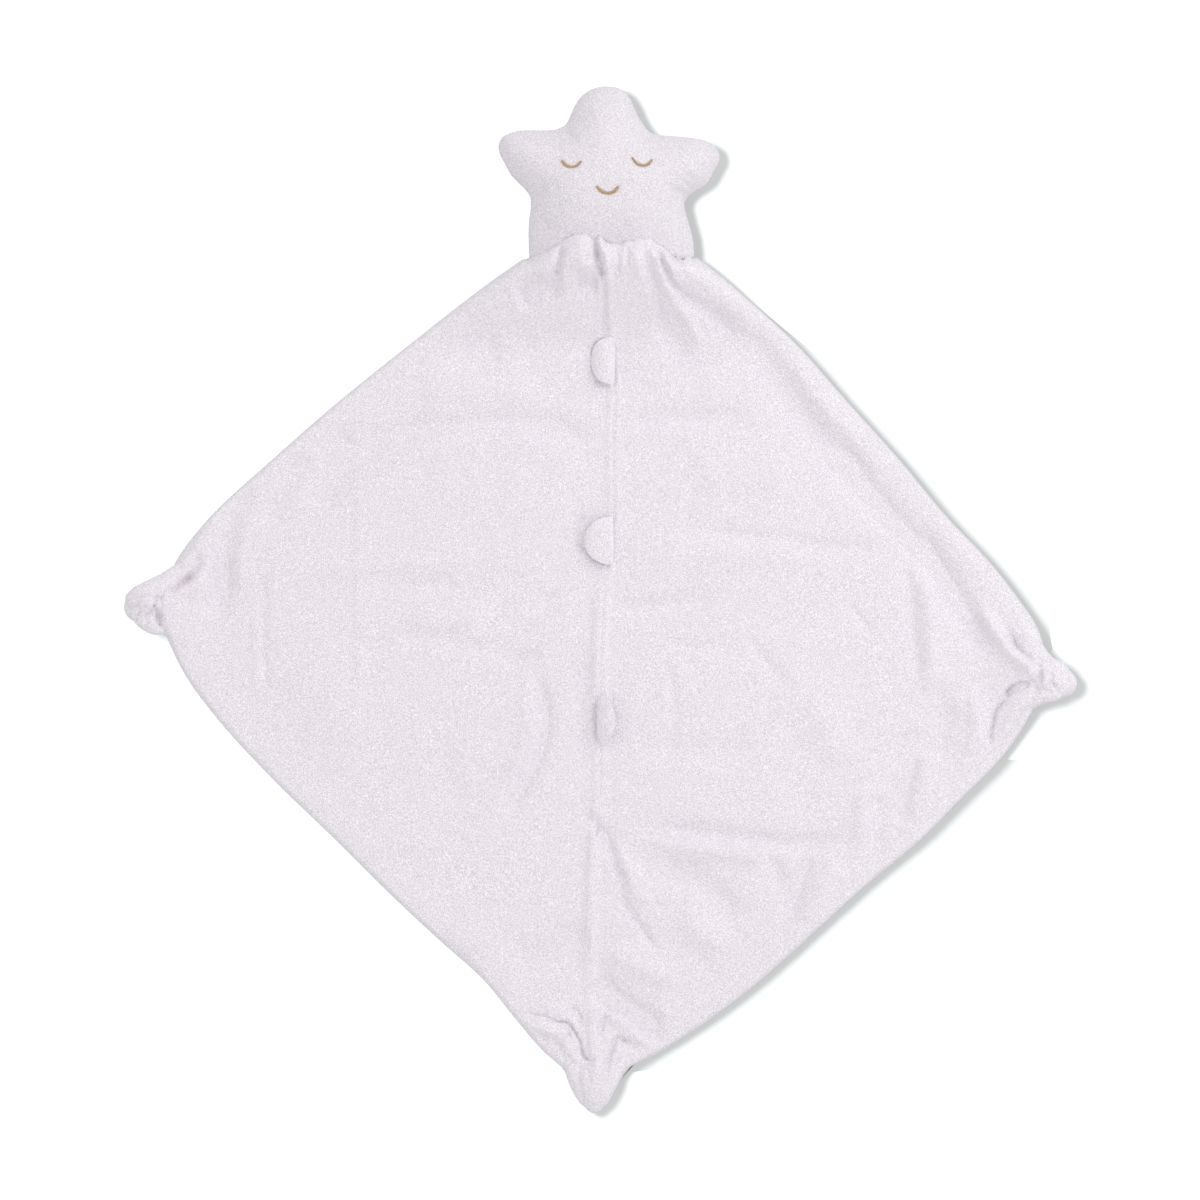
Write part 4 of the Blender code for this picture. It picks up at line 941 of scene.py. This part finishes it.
def left_knot(material):
    parts = [
        blob((145, 606, 6.8), (9.0, 7.2, 5.6), 8),
        roll((192, 562, 5.0, 2.4), (178, 572, 6.2, 3.4), (164, 583, 7.8, 4.2),
             (150, 591, 8.8, 4.6), (136, 598, 8.8, 4.2), (127, 605, 8.0, 3.2)),
        roll((158, 608, 9.6, 2.6), (148, 603, 11.2, 2.6), (139, 604, 11.0, 2.5), (133, 611, 9.2, 2.2)),
        roll((174, 628, 4.4, 2.6), (164, 625, 6.2, 3.8), (153, 625, 7.0, 4.0),
             (143, 621, 7.2, 3.2), (136, 616, 7.6, 2.6)),
        roll((157, 614, 8.8, 1.8), (149, 611, 10.0, 1.9), (142, 614, 9.6, 1.8), (138, 620, 8.0, 1.6)),
    ]
    return melded("knot_left", parts, material, (
        (-2.4, 0.9, (157, 598), (155, 604), (153, 611), (146, 616), (140, 619)),
        (-1.1, 0.6, (145, 600), (138, 604), (133, 610)),
        (-1.2, 0.6, (151, 604), (142, 609), (137, 618), (136, 624)),
        (-3.2, 1.0, (155, 599), (157, 611), (160, 622), (165, 636)),
        (-0.8, 0.6, (148, 596), (140, 598), (132, 602)),
        (-0.9, 0.6, (150, 618), (146, 626), (150, 632)),
    ))


def right_knot(material):
    parts = [
        blob((1057, 682, 7.4), (8.6, 6.6, 6.0), -10),
        blob((1048, 680, 7.6), (7.4, 9.0, 6.2), 0),
        roll((1012, 652, 8.0, 2.6), (1024, 664, 9.2, 3.2), (1034, 673, 10.4, 3.6), (1040, 678, 10.6, 3.4)),
        roll((1032, 634, 5.4, 2.2), (1039, 652, 7.0, 3.2), (1048, 664, 8.6, 3.6),
             (1059, 671, 9.0, 3.8), (1068, 680, 8.0, 3.0)),
        roll((1018, 716, 5.4, 2.4), (1028, 704, 6.8, 3.2), (1040, 696, 8.4, 3.8),
             (1054, 692, 8.6, 3.8), (1066, 688, 7.8, 3.0)),
        roll((1044, 664, 10.6, 2.2), (1046, 674, 12.2, 2.4), (1045, 684, 12.2, 2.4), (1041, 693, 10.4, 2.2)),
        roll((1052, 668, 11.0, 1.8), (1055, 676, 12.2, 2.0), (1054, 686, 11.8, 1.8)),
    ]
    return melded("knot_right", parts, material, (
        (-1.6, 0.8, (1041, 668), (1040, 675), (1039, 684)),
        (-1.3, 0.7, (1043, 672), (1047, 671), (1051, 676)),
        (-1.3, 0.7, (1049, 682), (1053, 684), (1057, 689)),
        (-0.7, 0.6, (1046, 680), (1051, 679), (1055, 675)),
        (-0.8, 0.9, (1034, 688), (1042, 689), (1050, 692)),
    ))


def bottom_knot(material):
    parts = [
        roll((593, 1064, 7.2, 5.4), (593, 1080, 7.6, 7.0), (593, 1094, 7.4, 6.0),
             (595, 1106, 6.8, 4.2), (597, 1113, 6.2, 2.4)),
        roll((570, 1062, 6.0, 3.2), (577, 1078, 7.0, 4.2), (584, 1094, 7.6, 3.8), (590, 1106, 7.2, 2.8)),
        roll((616, 1064, 6.0, 3.0), (610, 1078, 7.4, 4.2), (604, 1092, 8.0, 3.8), (599, 1106, 7.4, 2.8)),
        roll((600, 1056, 9.6, 2.0), (597, 1070, 11.6, 2.8), (594, 1086, 11.6, 2.6), (592, 1098, 10.2, 2.0)),
    ]
    return melded("knot_bottom", parts, material, (
        (-0.9, 0.9, (611, 1058), (606, 1070), (603, 1082)),
        (-0.7, 0.9, (584, 1062), (588, 1074), (590, 1088)),
    ))


# Materials

def put(tree, socket, value):
    """Set an input to a value, or link another node's output to it."""
    if isinstance(value, bpy.types.NodeSocket):
        tree.links.new(value, socket)
    else:
        socket.default_value = value


def set_up(tree, made, *inputs, **values):
    """Fill a node's first inputs in order, and its settings and other inputs by name, _ for a space."""
    for key, value in values.items():
        if hasattr(made, key):
            setattr(made, key, value)
        else:
            put(tree, made.inputs[key.replace("_", " ")], value)
    for socket, value in zip(made.inputs, inputs):
        put(tree, socket, value)
    return made.outputs


def node(tree, kind, *inputs, **values):
    """Make a node and return its outputs."""
    return set_up(tree, tree.nodes.new("ShaderNode" + kind), *inputs, **values)


def seen_by(tree, *kinds):
    """1 for the kinds of ray that are named, and 0 for the others."""
    rays = node(tree, "LightPath")
    seen = rays[kinds[0]]
    for kind in kinds[1:]:
        seen = node(tree, "Math", seen, rays[kind], operation="MAXIMUM")[0]
    return seen


def material_base(name):
    material = bpy.data.materials.new(name)
    material.use_nodes = True
    return material, material.node_tree, material.node_tree.nodes["Principled BSDF"]


def ramp(tree, share, stops):
    made = tree.nodes.new("ShaderNodeValToRGB")
    elements = made.color_ramp.elements
    for i, (at, colour) in enumerate(stops):
        element = elements[i] if i < 2 else elements.new(at)
        element.position = at
        element.color = (*colour, 1)
    return set_up(tree, made, share)["Color"]


def plush(name, bright, gaps_and_shade):
    """Short curly pile: pale fibre tips over pinkish gaps, in loose clumps. The gaps' darker tone is partly
    the pile's own colour and partly painted shade, darkest where the bump is lowest.
    """
    material, tree, shader = material_base(name)
    where = node(tree, "TexCoord")["Object"]
    warp = node(tree, "TexNoise", where, Scale=260.0, Detail=2.0, Roughness=0.6)["Color"]
    bent = node(tree, "MixRGB", blend_type="LINEAR_LIGHT", Fac=0.0007, Color1=where, Color2=warp)["Color"]
    curls = node(tree, "TexNoise", bent, Scale=1450.0, Detail=2.0, Roughness=0.55, Distortion=0.3)["Fac"]
    specks = node(tree, "TexNoise", where, Scale=2500.0, Detail=1.0, Roughness=0.5)["Fac"]
    clumps = node(tree, "TexNoise", where, Scale=120.0, Detail=3.0, Roughness=0.6)["Fac"]
    height = node(tree, "Math", clumps, CLUMP_SHARE, operation="MULTIPLY")[0]
    height = node(tree, "Math", curls, CURL_SHARE, height, operation="MULTIPLY_ADD")[0]
    height = node(tree, "Math", specks, SPECK_SHARE, height, operation="MULTIPLY_ADD")[0]
    spread = node(tree, "MapRange", height, From_Min=0.48, From_Max=0.80)["Result"]
    # Painted shade: the colour ramp follows the same height as the bump, so the low places between curls are
    # painted darker
    set_up(
        tree, shader, ramp(tree, spread, ((0.0, gaps_and_shade), (1.0, bright))), Roughness=0.96,
        Normal=node(tree, "Bump", Strength=0.5, Distance=0.0003, Height=spread)["Normal"],
        Sheen_Weight=0.5, Sheen_Roughness=0.55, Sheen_Tint=(1.0, 0.97, 1.0, 1), Specular_IOR_Level=0.15,
    )
    return material


def strand_material(name, colour, scale, depth, roughness=0.55):
    """Twisted thread or fibre."""
    material, tree, shader = material_base(name)
    twist = node(tree, "TexWave", node(tree, "TexCoord")["Object"], bands_direction="DIAGONAL",
                 Scale=scale, Distortion=2.0, Detail=2.0)["Fac"]
    shade = ramp(tree, twist, ((0.0, tuple(c * 0.72 for c in colour)), (0.7, colour)))
    bump = node(tree, "Bump", Strength=0.5, Distance=depth, Height=twist)["Normal"]
    set_up(tree, shader, shade, Roughness=roughness, Normal=bump, Sheen_Weight=0.2)
    return material


def floor_material():
    """White floor: shown white to the camera, and still shaded by the object's shadow."""
    material, tree, shader = material_base("floor")
    surface = set_up(tree, shader, (*FLOOR_TONE, 1), Roughness=1.0, Specular_IOR_Level=0.0)[0]
    seen = seen_by(tree, "Is Camera Ray", "Is Glossy Ray", "Is Transmission Ray")
    glow = node(tree, "Emission", seen, Strength=FLOOR_GLOW)[0]
    set_up(tree, tree.nodes["Material Output"], node(tree, "AddShader", surface, glow)[0])
    return material


CLUMP_SHARE, CURL_SHARE, SPECK_SHARE = 0.03, 0.45, 0.78
FLOOR_TONE = (0.213, 0.227, 0.227)
FLOOR_GLOW = 0.45
# Plush tips and gaps: the gaps' colour is partly their own deeper pink and partly painted shade between the
# curls
PLUSH_BRIGHT, PLUSH_GAPS_AND_SHADE = (0.99, 0.956, 1.0), (0.66, 0.60, 0.66)
# The head's plush is the blanket's plush made about 5 % darker: painted shade for the head's rounded faces
# that turn from the light
HEAD_BRIGHT_PAINTED_DARKER, HEAD_GAPS_AND_SHADE = (0.945, 0.912, 0.955), (0.63, 0.573, 0.63)
FACE_THREAD = (0.54, 0.36, 0.18)

plush_front = plush("plush_front", PLUSH_BRIGHT, PLUSH_GAPS_AND_SHADE)
plush_back = plush("plush_back", PLUSH_BRIGHT, PLUSH_GAPS_AND_SHADE)
# A darker copy of the plush for the head: painted shade
plush_head_painted_darker = plush("plush_head_painted_darker", HEAD_BRIGHT_PAINTED_DARKER, HEAD_GAPS_AND_SHADE)
thread_look = strand_material("sewing_thread", (0.82, 0.77, 0.80), 900.0, 0.0001)
face_look = strand_material("face_stitch", FACE_THREAD, 700.0, 0.0001, 0.5)
fibre_look = strand_material("fibre_filling", (0.88, 0.88, 0.88), 300.0, 0.0006, 1.0)

for name in ("centre_seam_thread", "edge_seam_thread", "head_seam_thread", "neck_seam_thread"):
    for slot in nodes[name].material_slots:
        slot.material = thread_look

front_left = front_cloth(-1, plush_front)
front_right = front_cloth(1, plush_front)
back = back_cloth(plush_back)
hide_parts("front_panel_left", "neck_gather")
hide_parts("front_panel_right", "neck_gather")
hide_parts("back_panel")
for piece in (front_left, front_right, back):
    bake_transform(piece)

head_front = head_half("head_front", True, plush_head_painted_darker)
head_back = head_half("head_back", False, plush_head_painted_darker)
filling = filling_star(fibre_look)
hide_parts("head_front_cover")
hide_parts("head_back_cover")
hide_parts("filling_middle", "filling_point_top", "filling_point_left", "filling_point_right")
for piece, slot_name in ((head_front, "plush"), (head_back, "plush"), (filling, "filling")):
    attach(piece, "head")

FACE = (
    ("stitched_eye_left", "eye_left", (
        (562, 162), (565.5, 166), (571, 168), (577, 166.5), (581, 162.5),
    ), 0.0008),
    ("stitched_eye_right", "eye_right", (
        (632.5, 159), (636, 164), (642, 166.5), (648, 165), (652, 161),
    ), 0.0008),
    ("stitched_mouth", "mouth", ((597, 188), (601, 192), (607.5, 194.5), (614, 192.5), (618, 188)), 0.0010),
)
for name, cad_node, arc, width in FACE:
    piece = satin_arc(name, arc, width, face_look)
    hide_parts(cad_node)
    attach(piece, "head")

TABS = (
    ("flap_upper", "seam_tab_upper", "upper_tab", (0.005452, 0.1010, 0.007371), 0.0106, 140, 240, 0.30),
    ("flap_middle", "seam_tab_middle", "middle_tab", (0.004988, 0.0254, 0.007450), 0.0120, 154, 206, -0.20),
    ("flap_lower", "seam_tab_lower", "lower_tab", (0.000001, -0.0500, 0.007450), 0.0079, 60, 8, 0.0),
)
for name, cad_node, body, place, width, root, tip, slant in TABS:
    piece = seam_tab(name, place, width, root, tip, slant, plush_front)
    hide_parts(cad_node)
    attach(piece, body)

KNOTS = (
    (left_knot, "corner_knot_left", "left_knot",
     (-0.1780, -0.0025, KNOT_AXIS_Z), (-0.1880, -0.0025, KNOT_AXIS_Z)),
    (right_knot, "corner_knot_right", "right_knot",
     (0.1780, -0.0330, KNOT_AXIS_Z), (0.1880, -0.0330, KNOT_AXIS_Z)),
    (bottom_knot, "corner_knot_bottom", "bottom_knot",
     (-0.0013, -0.1930, KNOT_AXIS_Z), (-0.0013, -0.2030, KNOT_AXIS_Z)),
)
for make, cad_node, body, start, end in KNOTS:
    piece = make(plush_front)
    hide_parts(cad_node)
    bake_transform(piece)

# Floor, light and camera

FLOOR_Z = -0.0001
FAR = 6.0
NECK_LINE_Y, NECK_EDGE, NECK_CLEAR = 0.118, (0.0505, 0.1365), (0.1133, 0.0854)
RIGHT_LINE = (
    (0.1714, -0.0668), (0.1793, -0.0483), (0.1865, -0.0265), (0.1903, -0.0206), (0.1894, -0.0147),
    (0.1894, 0.0021),
)
BOTTOM_LINE = ((-0.0300, -0.1970), (0.0092, -0.1987), (0.0286, -0.1961), (0.0800, -0.1961))
# The floor's parts, each with its corners in order and a sun of its own: where that shines from, its
# strength and its spread in degrees. The sun is lower where the object is low, so that the shadow is even.
FLOOR_PARTS = (
    ("floor", (
        (-FAR, NECK_LINE_Y), (-FAR, -FAR),
        (BOTTOM_LINE[0][0], -FAR), *BOTTOM_LINE, (BOTTOM_LINE[-1][0], -FAR),
        (FAR, -FAR), (FAR, RIGHT_LINE[0][1]), *RIGHT_LINE, (FAR, RIGHT_LINE[-1][1]),
        (FAR, NECK_CLEAR[1]), NECK_CLEAR, NECK_EDGE, (0, NECK_LINE_Y),
    ), (-0.97, 0.31, 1.0), 9.9, 26),
    ("floor_top", (
        (-FAR, FAR), (-FAR, NECK_LINE_Y), (0, NECK_LINE_Y), NECK_EDGE, NECK_CLEAR, (FAR, NECK_CLEAR[1]),
        (FAR, FAR),
    ), (-0.27, 0.08, 1.0), 7.8, 10),
    ("floor_right", (
        *RIGHT_LINE, (FAR, RIGHT_LINE[-1][1]), (FAR, RIGHT_LINE[0][1]),
    ), (-0.56, 0.24, 1.0), 8.6, 20),
    ("floor_bottom", (
        *BOTTOM_LINE, (BOTTOM_LINE[-1][0], -FAR), (BOTTOM_LINE[0][0], -FAR),
    ), (-0.40, 0.30, 1.0), 8.4, 20),
)
KEY_DIRECTION, KEY_DISTANCE, KEY_WIDTH, KEY_POWER = (0.60, 0.43, 0.72), 1.15, 1.0, 3.95
SKY_STRENGTH = 0.91


def floor_part(name, corners, material):
    mesh = bpy.data.meshes.new(name)
    mesh.from_pydata([(x, y, FLOOR_Z) for x, y in corners], [], [tuple(range(len(corners)))])
    mesh.materials.append(material)
    return add_object(name, mesh)


def lamp(name, kind, direction, receivers, distance=0, **settings):
    """A lamp that shines from a direction on the receivers alone."""
    data = bpy.data.lights.new(name, kind)
    for key, value in settings.items():
        setattr(data, key, value)
    made = add_object(name, data)
    made.location = Vector(direction).normalized() * distance
    made.rotation_euler = Vector(direction).to_track_quat("Z", "Y").to_euler()
    lit = bpy.data.collections.new("lit_by_" + name)
    for obj in receivers:
        lit.objects.link(obj)
    made.light_linking.receiver_collection = lit


floor_look = floor_material()
floor_parts = [floor_part(name, corners, floor_look) for name, corners, *_ in FLOOR_PARTS]
for piece in floor_parts:
    piece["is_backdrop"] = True
lamp("key", "AREA", KEY_DIRECTION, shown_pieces(), KEY_DISTANCE, size=KEY_WIDTH, energy=KEY_POWER)
for piece, (name, _, direction, strength, spread) in zip(floor_parts, FLOOR_PARTS):
    lamp("sun_" + name, "SUN", direction, [piece], energy=strength, angle=math.radians(spread))

# The camera sees pure white past the floor, while the object is lit by a slightly weaker sky
world = bpy.data.worlds.new("studio")
bpy.context.scene.world = world
world.use_nodes = True
tree = world.node_tree
sky = set_up(tree, tree.nodes["Background"], (1.0, 1.0, 1.0, 1), SKY_STRENGTH)[0]
white = node(tree, "Background", Strength=1.0)[0]
shown = node(tree, "MixShader", seen_by(tree, "Is Camera Ray", "Is Transmission Ray"), sky, white)[0]
set_up(tree, tree.nodes["World Output"], shown)

camera_data = bpy.data.cameras.new("camera")
camera_data.lens, camera_data.sensor_width = 600, 36
camera_data.clip_end = 100
camera = add_object("camera", camera_data)
CAMERA_HEIGHT = 0.010 + FRAME_WIDTH * camera_data.lens / camera_data.sensor_width
camera.location = (0, (MIDDLE_PY - 600) * PIXEL, CAMERA_HEIGHT)
bpy.context.scene.camera = camera
bpy.context.scene.view_settings.view_transform = "Standard"
